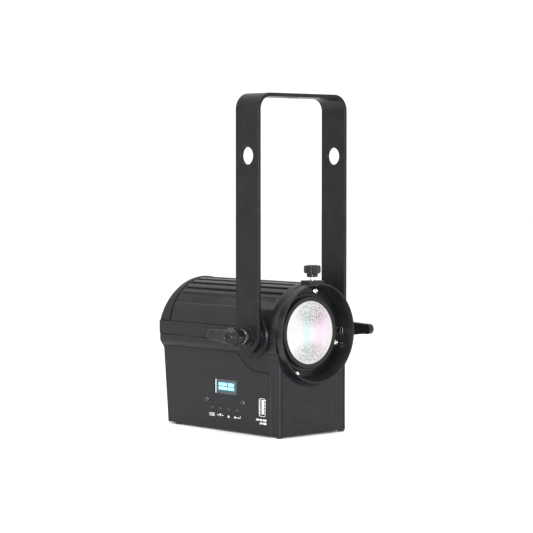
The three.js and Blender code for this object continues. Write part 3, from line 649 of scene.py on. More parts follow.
def top_depths():
    """(angle, depth) across the round top: each plank falls away softly at its upper edge."""
    start = degrees(asin((RAIL_Z[1] + GAP - OPTIC_Z) / TOP_R))
    shapes = [(a - GROOVE_HALF, a + GROOVE_HALF, 1.5, a) for a in GROOVES]
    shapes += [(low, high, 1.3, 0) for low, high in POCKETS]
    points = {start: 0.0, 180 - start: 0.0}
    busy = []
    for low, high, depth, groove_angle in shapes:
        fall_low = CHAMFER_FALL if 0 < groove_angle < 90 else 0.0
        fall_high = CHAMFER_FALL if groove_angle > 90 else 0.0
        for k in range(5):
            share = smooth_step(k / 4)
            points[low + EDGE * (k / 2 - 1)] = fall_low + (depth - fall_low) * share
            points[high - EDGE * (k / 2 - 1)] = fall_high + (depth - fall_high) * share
        for k in range(4):
            share = (k / 4) ** 2
            if fall_low:
                points[low - EDGE - CHAMFER * (1 - k / 4)] = fall_low * share
            if fall_high:
                points[high + EDGE + CHAMFER * (1 - k / 4)] = fall_high * share
        for k in range(1, 6):
            angle = low + (high - low) * k / 6
            if low + EDGE < angle < high - EDGE:
                points[angle] = depth
        busy.append((low - EDGE - (CHAMFER if fall_low else 0), high + EDGE + (CHAMFER if fall_high else 0)))
    angle = start
    while angle < 180 - start:
        if not any(low - 0.3 < angle < high + 0.3 for low, high in busy):
            points.setdefault(angle, 0.0)
        angle += 1.7
    return sorted(points.items())


def top_shell():
    """The round top as rings along y: planks between long grooves, and smooth bands at both ends."""
    across = top_depths()
    front, rear = FRONT_Y, REAR_RIM_Y - GAP
    bore_end = COLLAR_Y[1] + 0.25
    bore_r = COLLAR_R + GAP
    stations = [(front, 0, 0.08, bore_r), (front + 0.08, 0, 0, bore_r),
                (bore_end, 0, 0, bore_r - 0.05), (bore_end + 0.01, 0, 0, SHELL_INNER_R)]
    stations += [(SLOT_ENDS[0] + 0.25 * k, smooth_step(k / 4), 0, SHELL_INNER_R) for k in range(5)]
    stations += [(SLOT_ENDS[1] - 0.25 * (4 - k), smooth_step(1 - k / 4), 0, SHELL_INNER_R) for k in range(5)]
    stations += [(rear - back, 0, inset, SHELL_INNER_R) for back, inset in ((0.3, 0), (0.1, 0.1), (0, 0.3))]
    rings = []
    for y, share, inset, inner in stations:
        ring = []
        for angle, depth in across:
            r = TOP_R - inset - depth * share
            slant = 3.0 * (angle - 30) / 15 if 30 < angle < 45 else 0
            slant = 3.0 * (150 - angle) / 15 if 135 < angle < 150 else slant
            shift = slant if SLOT_ENDS[0] <= y < 0 else 0
            a = radians(angle)
            ring.append((r * cos(a), y + shift, OPTIC_Z + r * sin(a)))
        for angle, depth in reversed(across):
            a = radians(angle)
            ring.append((inner * cos(a), y, OPTIC_Z + inner * sin(a)))
        rings.append(ring)
    shell = loft("top_shell", rings)
    cut(shell, block("notch", (-7.8, 7.8), (-FAR, -17.2), (OPTIC_Z, FAR)))
    lip_y, lip_z = (-13.5, REAR_RIM_Y - 1), (RAIL_Z[1] - 1.3, RAIL_Z[1] + 2.1)
    join(shell, *[block("lip", sorted((side * 36.2, side * 37.3)), lip_y, lip_z) for side in (-1, 1)])
    put(shell, SATIN_PAINT, node="top_shell")


def side_rails():
    low, high = RAIL_Z
    for name, side in SIDES:
        edge = side * RAIL_HALF_WIDTH
        groove = edge - side * 0.3
        root = side * 34.0
        lower = [(edge - side * 0.35, low), (edge, low + 0.6), (edge, low + 1.7), (groove, low + 1.9),
                 (groove, low + 2.2), (edge, low + 2.4)]
        upper = [(x, low + high - z) for x, z in reversed(lower)]
        node = f"side_rail_{name}"
        outline = [(root, low), *lower, *upper, (root, high)]
        rail = prism(node, outline, FRONT_Y, REAR_Y - REAR_WALL - GAP, "y")
        cut(rail, collar_bore(), optic_rod("cavity", SHELL_INNER_R), pivot_rod("stud_hole", STUD_R + GAP))
        put(rail, BLACK_PAINT, 0.25, node=node)


# ---------------------------------------- rear cover and its connectors

LEAN_FRAME = Matrix.Translation((0, LEAN_BOTTOM_Y, 0)) @ Matrix.Rotation(-LEAN, 4, "X")
XLR_X, XLR_S, XLR_R = 17.5, 47.0, 9.4
INLET_X, INLET_S = -11.0, 17.0
INLET_HALF = (13.5, 9.8)
FUSE_X, FUSE_S = 21.0, 17.0


def leaned(obj):
    obj.data.transform(LEAN_FRAME)
    return obj


def rear_y(z, depth):
    """Rear face at a height, moved forward by depth: it leans in below and rakes in above the rails."""
    return REAR_Y - depth - max(0.0, LEAN_TOP_Z - z) * tan(LEAN) - max(0.0, z - RAIL_Z[1]) * TOP_RAKE


def rear_cover():
    rings = []
    stations = [(None, 0.25, 0.0), (None, 0.0, 0.25)]
    stations += [(depth, inset, 0.0) for depth, inset in reversed(quarter(4.5, 8))]
    for depth, inset, ahead in stations:
        half = half_outline(BODY_HALF_WIDTH - inset, SHELL_R - inset, inset, SHOULDER_HIGH_Z)[:-1]
        half += arc((0, OPTIC_Z), SHELL_R - inset, 0, 90, 30)
        rings.append([(x, REAR_RIM_Y + ahead if depth is None else rear_y(z, depth), z)
                      for x, z in mirrored(half)])
    cover = loft("rear_cover", rings, strips=True)
    rail_top = RAIL_Z[1]
    wall_y = REAR_Y - REAR_WALL
    front_of_panel = [(0, -1), (LEAN_BOTTOM_Y - REAR_WALL - tan(LEAN), -1), (wall_y, LEAN_TOP_Z),
                      (wall_y, rail_top + GAP), (0, rail_top + GAP)]
    raked = [(rear_y(rail_top, REAR_WALL), rail_top), (FAR, rail_top), (FAR, FAR),
             (rear_y(FAR, REAR_WALL), FAR)]
    inner = optic_rod("inner", SHELL_INNER_R, 0, wall_y)
    cut(inner, block("low", (-FAR, FAR), (-FAR, FAR), (-FAR, rail_top)),
        prism("raked", raked, -FAR, FAR, "x"))
    cut(cover, prism("front_of_panel", front_of_panel, -FAR, FAR, "x"), inner)
    tools = [leaned(rod("xlr_cut", XLR_R + GAP, -15, 15, (side * XLR_X, XLR_S), "y")) for side in (-1, 1)]
    tools.append(leaned(rod("fuse_cut", 6.3, -15, 15, (FUSE_X, FUSE_S), "y")))
    inlet = centred((INLET_X, INLET_S), (INLET_HALF[0] + GAP, INLET_HALF[1] + GAP), 1.0)
    tools.append(leaned(prism("inlet_cut", inlet, -15, 15, "y")))
    for i in range(7):
        rise = (i - 3) * 6
        slot = centred((0, 94 + rise), (sqrt(23**2 - rise**2), 1.5), 1.45)
        tools.append(prism("vent", slot, REAR_RIM_Y + 2, FAR, "y"))
    cut(cover, *tools)
    put(cover, BLACK_PAINT, 0.3, node="rear_cover")


def flange(centre, half, r, screws):
    """A connector's face plate with countersunk screws, in the leaning frame."""
    plate = prism("flange", centred(centre, half, r), 0.3, 2.1, "y")
    dish = [(0, 0.9), (1.9, 0.9), (1.9, 3), (0, 3)]
    head = [(0, 0.2), (1.7, 0.2), (1.7, 1.25), (1.2, 1.55), (0, 1.6)]
    for dx, ds in screws:
        place = (centre[0] + dx, centre[1] + ds)
        cut(plate, turned("dish", dish, place, "y", 32))
        join(plate, cross_screw("head", head, place, "y", (1.1, 3), 1.1, 0.25, 32))
    return plate


def xlr_socket(node, x, male):
    centre = (x, XLR_S)
    body = flange(centre, (13, 15.5), 2.2, ((-9.8, 12.2), (9.8, -12.2)))
    join(body, rod("barrel", XLR_R, -16, 2.4, centre, "y", 96))
    pins = circle(centre, 4, 3, 90)
    if male:
        cut(body, rod("mouth", 8.2, -12, 9, centre, "y", 96))
        key = block("key", (x - 1.2, x + 1.2), (-11, 1.5), (XLR_S - 8.6, XLR_S - 6.9))
        pin = [(0, -13), (1.2, -13), (1.2, -2.2), (0.6, -1.5), (0, -1.5)]
        join(body, key, *[turned("pin", pin, place, "y", 24) for place in pins])
    else:
        ring = [(7.4, -9), (8.9, -9), (8.9, 9), (0, 9), (0, -1.2), (7.4, -1.2)]
        cut(body, turned("ring", ring, centre, "y", 96))
        cut(body, *[rod("pin_hole", 1.3, -10, 9, place, "y", 24) for place in pins])
        join(body, prism("latch", rounded((x - 3, XLR_S + 10.2), (x + 3, XLR_S + 13.0), 0.8), 0.5, 2.2, "y"))
    put(leaned(body), DARK_STEEL, 0.2, node=node)


def mains_inlet():
    x, s = INLET_X, INLET_S
    body = prism("mains_inlet", centred((x, s), (16.5, 12.5), 3), 0.3, 2.1, "y")
    join(body, prism("well", centred((x, s), INLET_HALF, 0.6), -20, 2.4, "y"))
    a, b = INLET_HALF[0] - 1.5, INLET_HALF[1] - 1.5
    mouth = [(-a, -b), (a, -b), (a, b - 3.5), (a - 3.5, b), (3.5 - a, b), (-a, b - 3.5)]
    cut(body, prism("mouth", [(x + dx, s + ds) for dx, ds in mouth], -15, 9, "y"))
    put(leaned(body), BLACK_PLASTIC, 0.3, node="mains_inlet")
    for i, (dx, ds) in enumerate(((-7, -1.5), (0, 2.5), (7, -1.5))):
        blade = block(f"inlet_blade_{i + 1}", (x + dx - 1, x + dx + 1), (-15.2, -3),
                      (s + ds - 2, s + ds + 2))
        put(leaned(blade), BRIGHT_STEEL, 0.35)


def fuse_holder():
    centre = (FUSE_X, FUSE_S)
    profile = [(0, -22), (6, -22), (6, 0.3), (7.6, 0.3), (7.6, 3.2), (7.2, 3.9), (6.4, 4.2),
               (5.6, 4.5), (0, 4.5)]
    body = turned("fuse_holder", profile, centre, "y")
    cut(body, prism("slot", centred(centre, (4, 0.7), 0.3), 3.5, 9, "y"))
    cut(body, *[rod("grip", 0.5, 0.9, 9, place, "y", 16) for place in circle(centre, 7.8, 20)])
    put(leaned(body), BLACK_PLASTIC, 0.15, node="fuse_holder")


# ---------------------------------------- front optics

THUMB_Y = -23.5
LATCH_Y = (-20.0, -17.5)
LATCH_Z = (PIVOT_Z - 2, PIVOT_Z + 3.5)


def latch_outline(grow, r):
    """The slot in the collar's right side, grown all round."""
    return rounded((LATCH_Y[0] - grow, LATCH_Z[0] - grow), (LATCH_Y[1] + grow, LATCH_Z[1] + grow), r)


def front_collar():
    front, back = COLLAR_Y
    profile = [(COLLAR_INNER_R, front + 7), (38.2, front + 0.5), (38.3, front + 0.15), (38.5, front),
               (TOP_R - 0.35, front), (TOP_R - 0.1, front + 0.1), (TOP_R, front + 0.35),
               (TOP_R, FRONT_Y - 0.05), (COLLAR_R, FRONT_Y - 0.05), (COLLAR_R, back), (COLLAR_INNER_R, back)]
    ring = about_optic("front_collar", profile, 192)
    pad = prism("pad", centred((0, THUMB_Y), (7.5, 6), 1.2), OPTIC_Z + 37.9, 121, "z")
    cut(pad, optic_rod("under", COLLAR_INNER_R))
    join(ring, pad)
    cut(ring, rod("stud_bore", 2.1, OPTIC_Z, FAR, (0, THUMB_Y), "z", 48),
        prism("latch_slot", latch_outline(0, 0.7), 20, FAR, "x"))
    put(ring, COLLAR_PAINT, 0.08, node="front_collar")
    trim = prism("latch_trim", latch_outline(0.3, 0.9), 36.75, 37.5, "x")
    cut(trim, prism("trim_hole", latch_outline(-0.1, 0.6), 30, FAR, "x"))
    put(trim, BRIGHT_STEEL, 0.08)


def cross_screw(name, profile, centre, axis, recess, half, width=0.32, steps=48):
    """A screw with a cross in its head; recess is the pair of distances that the cross is cut between."""
    screw = turned(name, profile, centre, axis, steps)
    x, y = centre
    for a, b in ((half, width), (width, half)):
        outline = [(x - a, y - b), (x + a, y - b), (x + a, y + b), (x - a, y + b)]
        cut(screw, prism("recess", outline, *sorted(recess), axis))
    return screw


def lens_plate():
    outer_r = SHELL_INNER_R - GAP
    plate = about_optic("lens_plate", [(24, -16), (outer_r, -16), (outer_r, -14), (24, -14)])
    places = circle((0, OPTIC_Z), 34, 4, 73)
    cut(plate, *[rod("hole", 1.7, -FAR, FAR, place, "y", 32) for place in places])
    profile = [(31.6, -16.45), (35.6, -16.45), (35.9, -16.2), (35.9, -15.9), (31.6, -15.9)]
    step = about_optic("plate_step", profile)
    cut(step, *[rod("hole", 3.1, -FAR, FAR, place, "y", 32) for place in places])
    join(plate, step)
    put(plate, INNER_PAINT, 0.2, node="lens_plate")
    profile = [(0, -17.9), (1.5, -17.86), (2.1, -17.6), (2.5, -17.1), (2.5, -16.05), (1.4, -16.05),
               (1.4, -11), (0, -11)]
    for i, place in enumerate(places):
        node = f"lens_plate_screw_{i + 1}"
        screw = cross_screw(node, profile, place, "y", (-20, -17.0), 1.35)
        put(screw, BRIGHT_STEEL, 0.12, node=node)


def lens_and_retainer():
    profile = [(24.95, -21.2), (25.25, -21.52), (25.7, -21.6), (27.9, -21.6), (28.4, -21.4), (28.6, -20.9),
               (28.6, -17.8), (31, -17.8), (31, -16.3), (27.3, -16.3), (27.3, -20.5), (24.95, -20.5)]
    retainer = about_optic("lens_retainer", profile)
    grips = circle((0, OPTIC_Z), 29.75, 24)
    cut(retainer, *[rod("grip", 0.45, -FAR, -18.4, place, "y", 12) for place in grips])
    put(retainer, INNER_PAINT, 0.12, node="lens_retainer")
    edge_y, rise, reach = -20.2, 3.2, 24.65
    sphere_r = (reach**2 + rise**2) / (2 * rise)
    dome = []
    for i in range(25):
        r = reach * (1 - i / 24)
        dome.append((r, edge_y - rise + sphere_r - sqrt(sphere_r**2 - r**2)))
    lens = about_optic("front_lens", [(0, -16.3), (27, -16.3), (27, edge_y), *dome])
    put(lens, LENS_PAINTED_GLOW, 0.1, node="front_lens")


# ---------------------------------------- side controls

# (start, width) of each display glyph: both rows share their ends, and GLYPH_ROWS has (height, middle)
GLYPHS_LEFT = ((0, 1.6), (2.2, 1.6), (4.4, 1.6))
GLYPHS_RIGHT = ((11.4, 2.6), (14.6, 1.6), (16.8, 1.4))
GLYPH_ROWS = ((34.5, ((6.6, 1.0), (8.2, 1.6))), (31.3, ((6.6, 1.6), (8.8, 1.6))))
GLYPH_START_Y = 51.3
GLYPH_HEIGHT = 2.4
NARROW_GLYPH = 1.2
SLIT_MARGIN = 0.45


def display_glyphs(face):
    """Blocks that look like characters and spell nothing; all but the narrowest have a slit."""
    for k, (z, middle) in enumerate(GLYPH_ROWS):
        for i, (start, width) in enumerate((*GLYPHS_LEFT, *middle, *GLYPHS_RIGHT)):
            y = GLYPH_START_Y - start
            outline = rounded((y - width, z), (y, z + GLYPH_HEIGHT), 0.15, 2)
            glyph = prism(f"display_glyph_{k}_{i}", outline, face, face + 0.2, "x")
            if width > NARROW_GLYPH:
                low, high = (0.5, 1.1) if (i + k) % 2 else (1.4, 1.9)
                slit = rounded((y - width + SLIT_MARGIN, z + low), (y - SLIT_MARGIN, z + high), 0.1, 2)
                cut(glyph, prism("slit", slit, -FAR, 0, "x"))
            put(glyph, GLYPH)


def display():
    window = rounded((26.2, 26.4), (58.6, 41.5), 1.0)
    face, back = -INNER_X + 0.1, -INNER_X + 1.1
    trim = prism("display_bezel", window, face, back - 0.45, "x")
    cut(trim, prism("opening", rounded((31.2, 30.2), (52.6, 37.9), 0.5), -FAR, 0, "x"))
    put(trim, BEZEL, 0.15)
    pane = prism("display_window", window, back - 0.4, back, "x")
    put(pane, WINDOW, 0.05, node="display_window")
    module = block("display_module", (back + 0.1, back + 3.6), (25.6, 59.2), (25.8, 42.1))
    put(module, BLACK_PLASTIC, 0.3, node="display_module")
    glass = prism("display_glass", rounded((31.4, 30.4), (52.4, 37.7), 0.3), face + 0.3, back - 0.42, "x")
    put(glass, SCREEN, 0.05)
    # painted highlight: a white strip along the rear wall of the display opening, standing in for light on
    # the housing's black wall
    edge_y = (DISPLAY_Y[1] - 0.3, DISPLAY_Y[1] - 0.05)
    put(block("display_edge_painted_highlight", (face - 1.2, face), edge_y, (28.2, 39.7)),
        WHITE_PRINT_AND_HIGHLIGHT, 0.05)
    display_glyphs(face + 0.22)


def buttons():
    inner = -INNER_X
    top = -PANEL_X - 0.2
    profile = [(0, top + 0.35), (0.9, top + 0.3), (1.35, top + 0.02), (1.75, top), (2.02, top + 0.15),
               (BUTTON_R, top + 0.5), (BUTTON_R, inner + 0.3), (3.2, inner + 0.3), (3.2, inner + 1.2),
               (1.2, inner + 1.2), (1.2, -23.5), (0, -23.5)]
    for i, y in enumerate(BUTTON_YS):
        node = f"menu_button_{i + 1}"
        button = turned(node, profile, (y, BUTTON_Z), "x", 48)
        put(button, BLACK_PLASTIC, node=node, body=node)


def usb_port():
    centre, (half_y, half_z) = (USB_Y, USB_Z), USB_HALF
    front = USB_X[0]
    shell = prism("usb_shell", centred(centre, USB_HALF, 1.6), *USB_X, "x")
    cut(shell, prism("mouth", centred(centre, (half_y - 0.55, half_z - 0.55), 1.1), -FAR, -23.9, "x"))
    put(shell, BRIGHT_STEEL, 0.12, node="usb_shell")
    tongue = block("usb_tongue", (front + 1.5, -24.2), (USB_Y + 0.4, USB_Y + 2.2),
                   (USB_Z - 5.7, USB_Z + 5.7))
    put(tongue, WHITE_PLASTIC, 0.3, node="usb_tongue")
    for i in range(4):
        z = USB_Z - 3.9 + 2.6 * i
        contact = block(f"usb_contact_{i + 1}", (front + 1.9, -25), (USB_Y + 0.22, USB_Y + 0.42),
                        (z - 0.55, z + 0.55))
        put(contact, BRIGHT_STEEL, 0.05)
    for i, z in enumerate((USB_Z - 3.4, USB_Z + 3.4)):
        spring = block(f"usb_spring_{i + 1}", (front + 0.5, -26), (USB_Y - 3.25, USB_Y - 2.7),
                       (z - 0.9, z + 0.9))
        put(spring, BRIGHT_STEEL, 0.12)


def panel_screws():
    face = -PANEL_X
    profile = [(0, face - 0.9), (1.3, face - 0.86), (2.0, face - 0.6),
               (2.5, face - 0.05), (1.2, face - 0.05),
               (1.2, -19), (0, -19)]
    for i, place in enumerate(SCREW_PLACES):
        node = f"side_panel_screw_{i + 1}"
        screw = cross_screw(node, profile, place, "x", (face - 3, face - 0.35), 1.35)
        put(screw, DARK_STEEL, 0.1, node=node)
    board = block("control_board", (-22.6, -21), (-14, 70), (8, 44))
    cut(board, *[rod("hole", 1.5, -FAR, 0, place, "x", 24) for place in SCREW_PLACES])
    put(board, CIRCUIT_BOARD, 0.1, node="control_board")


def line_marks(points, width):
    """A run of straight strokes through points, as one outline per stroke."""
    strokes = []
    for (a, b), (c, d) in zip(points, points[1:]):
        length = hypot(c - a, d - b)
        along = ((c - a) / length * width / 2, (d - b) / length * width / 2)
        across = (-along[1], along[0])
        strokes.append([
            (a - along[0] - across[0], b - along[1] - across[1]),
            (c + along[0] - across[0], d + along[1] - across[1]),
            (c + along[0] + across[0], d + along[1] + across[1]),
            (a - along[0] + across[0], b - along[1] + across[1]),
        ])
    return strokes


def printed(name, centre, shapes):
    """White print on the side panel: shapes are (right, up) outlines about the centre, seen from outside."""
    pieces = []
    for outline in shapes:
        placed = [(centre[0] - right, centre[1] + up) for right, up in outline]
        pieces.append(prism(name, placed, -PANEL_X - 0.03, -PANEL_X + 0.02, "x"))
    body = join(pieces[0], *pieces[1:]) if len(pieces) > 1 else pieces[0]
    put(body, WHITE_PRINT_AND_HIGHLIGHT)


def labels():
    """Pictograms in place of words: a list, down, up and return arrows, then two rows of bars."""
    z = 11.0
    bars = [centred((0, k * 0.95), (3.4, 0.27), 0.2, 2) for k in (-1, 0, 1)]
    dashes = [rounded((low, -0.35), (low + 2.2, 0.35), 0.2, 2) for low in (-4.0, 1.8)]
    down = [[(-1.4, 1.2), (0, -1.2), (1.4, 1.2)], *dashes]
    up = [[(-1.6, -1.2), (1.6, -1.2), (0, 1.2)]]
    enter = line_marks([(3.9, 1.1), (3.9, -0.35), (-2.2, -0.35)], 0.55)
    enter.append([(-2.0, 0.85), (-2.0, -1.55), (-4.2, -0.35)])
    marks = (("menu", bars), ("down", down), ("up", up), ("enter", enter))
    for y, (name, shapes) in zip(reversed(BUTTON_YS), marks):
        printed(f"label_{name}", (y, z), shapes)
    rows = []
    for rise, cells in ((1.3, ((-7.4, 3.6), (-3.2, 3.0), (0.4, 4.4))), (-1.3, ((-3.2, 2.8), (0.2, 4.6)))):
        rows += [rounded((low, rise - 0.8), (low + width, rise + 0.8), 0.3, 2) for low, width in cells]
    printed("label_port", (USB_Y, 10.2), rows)


# ---------------------------------------- yoke and its clamps


def yoke():
    inner_bend = YOKE_BEND - 3
    low = PIVOT_Z - YOKE_HALF_DEPTH
    right = [(YOKE_OUTER, low)] + arc((YOKE_OUTER - YOKE_BEND, YOKE_TOP - YOKE_BEND), YOKE_BEND, 0, 90, 24)
    left = [(-x, z) for x, z in reversed(right)]
    inside_left = [(-YOKE_INNER, low)]
    inside_left += arc((-YOKE_INNER + inner_bend, YOKE_TOP - YOKE_BEND), inner_bend, 180, 90, 24)
    inside_right = [(-x, z) for x, z in reversed(inside_left)]
    strap = prism("yoke", right + left + inside_left + inside_right, -YOKE_HALF_DEPTH, YOKE_HALF_DEPTH, "y")
    side_view = arc((0, PIVOT_Z), YOKE_HALF_DEPTH, 180, 360, 48)
    side_view += [(YOKE_HALF_DEPTH, YOKE_TOP + 5), (-YOKE_HALF_DEPTH, YOKE_TOP + 5)]
    combine(strap, [prism("side_view", side_view, -FAR, FAR, "x")], "INTERSECT")
    cut(strap, pivot_rod("pivot", STUD_R + GAP), rod("hole", 6.9, -FAR, FAR, (0, YOKE_HOLE_Z), "x"),
        rod("clamp", 6.2, YOKE_TOP - 10, YOKE_TOP + 10, (0, 0), "z"))
    put(strap, YOKE_PAINT, 0.6, 4, node="yoke", body="yoke")


def serrated(name, side, low, high, r, depth, teeth):
    """A rod on the pivot axis with pointed teeth round it."""
    outline = []
    for i in range(teeth):
        for part, radius in ((0.0, r), (0.18, r), (0.5, r - depth), (0.68, r - depth)):
            a = 2 * pi * (i + part) / teeth
            outline.append((radius * cos(a), PIVOT_Z + radius * sin(a)))
    return prism(name, outline, side * low, side * high, "x")


def clamp(name, side):
    bore = STUD_R + GAP
    node = f"yoke_spacer_{name}"
    profile = [(bore, 40.9), (16.6, 40.9), (16.9, 41.3), (18.2, 41.3), (18.5, 41.7),
               (18.5, 42.6), (17.2, 43.9),
               (14.6, 44.1), (14.2, 44.3), (14.2, 44.75), (14.0, 44.95), (bore, 44.95)]
    put(outboard(node, side, profile, 128), SPACER_PAINTED_SHADE, 0.08, node=node)
    node = f"yoke_washer_{name}"
    profile = [(bore, 48.2), (8.25, 48.2), (8.5, 48.4), (8.5, 49.0), (8.25, 49.2), (bore, 49.2)]
    put(outboard(node, side, profile), YOKE_PAINT, node=node, body="yoke")
    node = f"pivot_stud_{name}"
    profile = [(0, 33), (2.7, 33), (STUD_R, 33.4)]
    for i in range(38):
        d = 41.0 + 0.55 * i
        profile += [(STUD_R, d), (STUD_R - 0.25, d + 0.275)]
    profile += [(STUD_R, 62.2), (2.6, 63), (0, 63)]
    put(outboard(node, side, profile, 32), BRIGHT_STEEL, node=node)
    node = f"clamp_insert_{name}"
    profile = [(bore, 49.5), (4.0, 49.5), (4.2, 49.7), (4.2, 50.6), (3.9, 50.8), (3.9, 51.0), (4.2, 51.2),
               (4.2, 52.8), (bore, 52.8)]
    put(outboard(node, side, profile, 64), DARK_STEEL, node=node, body=node)
    ring = serrated(f"clamp_teeth_{name}", side, 52.75, 53.6, 5.7, 0.4, 30)
    cut(ring, pivot_rod("bore", bore, steps=48))
    put(ring, BRIGHT_STEEL, 0.1, body=node)


def lever_arm(side):
    """A tapering arm from the lever's head to its round tip, thicker at the head."""
    reach, tip_r = 25.4, 4.3
    rings = []
    for k in range(9):
        t = k / 8
        y = -side * t * (reach - tip_r)
        top = PIVOT_Z + 5.9 - 0.7 * t
        low = PIVOT_Z - 5.0 + 1.8 * smooth_step(t)
        left, right = sorted((side * (62.4 + 0.7 * t), side * (68.6 - 1.3 * t)))
        rings.append([(x, y, z) for x, z in rounded((left, low), (right, top), 1.2, 4)])
    return loft("arm", rings)


def lever(name, side):
    node = f"clamp_lever_{name}"
    hub = [(0, 56.0), (5.2, 56.0), (5.2, 60.5), (6.0, 61.5), (7.4, 62.7), (7.6, 63.4), (7.4, 64.6),
           (6.2, 66.6), (5.0, 68.6), (4.6, 69.0), (0, 69.0)]
    tip = [(0, 62.5), (4.1, 62.5), (4.3, 62.8), (4.3, 67.0), (3.8, 67.7), (0, 67.7)]
    sleeve = [(0, 53.9), (5.3, 53.9), (5.45, 54.1), (5.45, 60.8), (0, 60.8)]
    body = join(outboard("lever", side, hub, centre=(0, PIVOT_Z + 0.3)), lever_arm(side),
                outboard("tip", side, tip, 48, (-side * 21.2, PIVOT_Z + 1)))
    soften(body, 3, 0.32)
    join(body, outboard("sleeve", side, sleeve))
    cut(body, pivot_rod("bore", STUD_R + GAP, side * 40, side * 64, 48),
        pivot_rod("screw_well", 2.8, side * 60, side * 80, 48))
    put(body, LEVER_PLASTIC, node=node, body=node)
    profile = [(0, 64), (2.5, 64), (2.5, 67.9), (2.1, 68.3), (1.4, 68.4), (0, 68.4)]
    screw = outboard(f"lever_screw_{name}", side, profile, 48)
    cut(screw, block("slot", (side * 67.4, side * 80), (-2.0, 2.0), (PIVOT_Z - 0.35, PIVOT_Z + 0.35)))
    put(screw, LEVER_PLASTIC, 0.12, node=f"lever_screw_{name}", body=node)


def thumbscrew():
    centre = (0, THUMB_Y)
    low, high = 126.5, 133.0
    profile = [(0, low), (5.4, low), (6.2, low + 0.4), (6.7, low + 1.1),
               (6.7, high - 1.2), (6.3, high - 0.5),
               (5.4, high), (4.3, high), (4.0, high - 0.35), (0, high - 0.35)]
    knob = turned("thumbscrew_knob", profile, centre, "z", 144)
    cut(knob, *[rod("flute", 0.95, low - 1, high + 1, place, "z", 24) for place in circle(centre, 6.95, 18)])
    cut(knob, rod("bore", 2.1, low - 5, low + 3, centre, "z", 32))
    put(knob, GLOSS_PLASTIC, 0.18, 3, 30, "thumbscrew_knob", "thumbscrew")
    profile = [(2.1, 123.7), (4.1, 123.7), (4.4, 124.0), (4.4, 126.0), (4.1, 126.3), (2.1, 126.3)]
    nut = turned("thumbscrew_collar", profile, centre, "z", 96)
    put(nut, GLOSS_PLASTIC, node="thumbscrew_collar", body="thumbscrew_collar")
    bottom, top = OPTIC_Z + COLLAR_INNER_R + 0.2, 129.2
    pitch = 0.5
    profile = [(0, bottom), (1.3, bottom), (1.8, bottom + 0.5)]
    for i in range(int((top - bottom - 1.5) / pitch)):
        z = bottom + 0.6 + pitch * i
        profile += [(1.8, z), (1.58, z + pitch / 2)]
    profile += [(1.8, top - 0.4), (0, top)]
    stud = turned("thumbscrew_stud", profile, centre, "z", 32)
    put(stud, BRIGHT_STEEL, node="thumbscrew_stud", body="thumbscrew")


# ---------------------------------------- pieces inside, shown as the CAD made them

INSIDE = (
    ("light_tube", "aluminium", ALUMINIUM),
    ("led_emitter", "led_phosphor", PHOSPHOR),
    ("led_board", "aluminium", ALUMINIUM),
    ("heat_sink", "aluminium", ALUMINIUM),
    ("fan_frame", "black_plastic", BLACK_PLASTIC),
    ("fan_rotor", "black_plastic", BLACK_PLASTIC),
    ("power_supply", "circuit_board", CIRCUIT_BOARD),
)


def inside_pieces():
    for node, slot, material in INSIDE:
        obj = frame["nodes"][node]
        obj.data.materials.clear()
        obj.data.materials.append(material)
        edge = obj.modifiers.new("edge", "BEVEL")
        edge.width = 0.25 * MM
        edge.segments = 2
        edge.limit_method = "ANGLE"
        edge.angle_limit = radians(35)
        edge.use_clamp_overlap = True


lower_housing()
base_plate()
top_shell()
side_rails()
rear_cover()
for male, place in ((True, -1), (False, 1)):
    xlr_socket("dmx_in" if male else "dmx_out", place * XLR_X, male)
mains_inlet()
fuse_holder()
front_collar()
lens_plate()
lens_and_retainer()
display()
buttons()
usb_port()
panel_screws()
labels()
yoke()
for name, side in SIDES:
    clamp(name, side)
    lever(name, side)
thumbscrew()
inside_pieces()

# ---------------------------------------- floor, light and camera

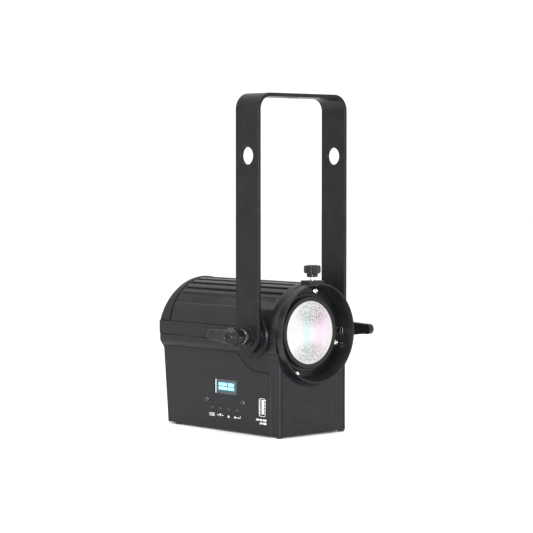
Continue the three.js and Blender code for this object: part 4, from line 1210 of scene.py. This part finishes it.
FLOOR_HALF = 6.0
floor_mesh = bpy.data.meshes.new("floor")
corners = [(x * FLOOR_HALF, y * FLOOR_HALF, 0) for x, y in ((-1, -1), (1, -1), (1, 1), (-1, 1))]
floor_mesh.from_pydata(corners, [], [(0, 1, 2, 3)])
floor = bpy.data.objects.new("floor", floor_mesh)
bpy.context.scene.collection.objects.link(floor)
pale = bpy.data.materials.new("pale_floor")
pale.use_nodes = True
set_inputs(pale.node_tree.nodes["Principled BSDF"], Base_Color=(*grey(0.90), 1), Roughness=0.7)
floor_mesh.materials.append(pale)

world = bpy.data.worlds.new("studio")
world.use_nodes = True
set_inputs(world.node_tree.nodes["Background"], Color=(*grey(1.0), 1), Strength=1.15)
bpy.context.scene.world = world


def soft_light(name, place, target, size, power):
    """A square light at a place in m, aimed at a target; its size is in m and its power in W."""
    lamp = bpy.data.lights.new(name, "AREA")
    lamp.shape = "SQUARE"
    lamp.size = size
    lamp.energy = power
    obj = bpy.data.objects.new(name, lamp)
    obj.location = place
    obj.rotation_euler = (Vector(target) - Vector(place)).to_track_quat("-Z", "Y").to_euler()
    bpy.context.scene.collection.objects.link(obj)


soft_light("overhead", (-0.2, -0.1, 1.5), (0, 0, 0.1), 1.2, 14)
soft_light("left_side", (-1.5, 0.2, 0.9), (0, 0, 0.12), 0.8, 2.5)
soft_light("front_right", (0.9, -1.4, 0.8), (0, 0, 0.12), 0.7, 3)
soft_light("beside_camera", (-1.1, -1.35, 0.30), (0, 0, 0.12), 0.35, 30)

scene = bpy.context.scene
scene.view_settings.view_transform = "Standard"
AZIMUTH = radians(42.27)
PITCH = radians(2.78)
DISTANCE = 1.6
FOCAL_MM = 135.67
SENSOR_MM = 36
target = LAMP_ORIGIN + Vector((-15.0, 13.6, 131.1)) * MM
level = cos(PITCH)
forward = Vector((sin(AZIMUTH) * level, cos(AZIMUTH) * level, -sin(PITCH)))
lens = bpy.data.cameras.new("camera")
lens.lens = FOCAL_MM
lens.sensor_width = SENSOR_MM
lens.clip_start = 0.05
lens.clip_end = 50
camera = bpy.data.objects.new("camera", lens)
camera.location = target - forward * DISTANCE
camera.rotation_euler = forward.to_track_quat("-Z", "Y").to_euler()
scene.collection.objects.link(camera)
scene.camera = camera
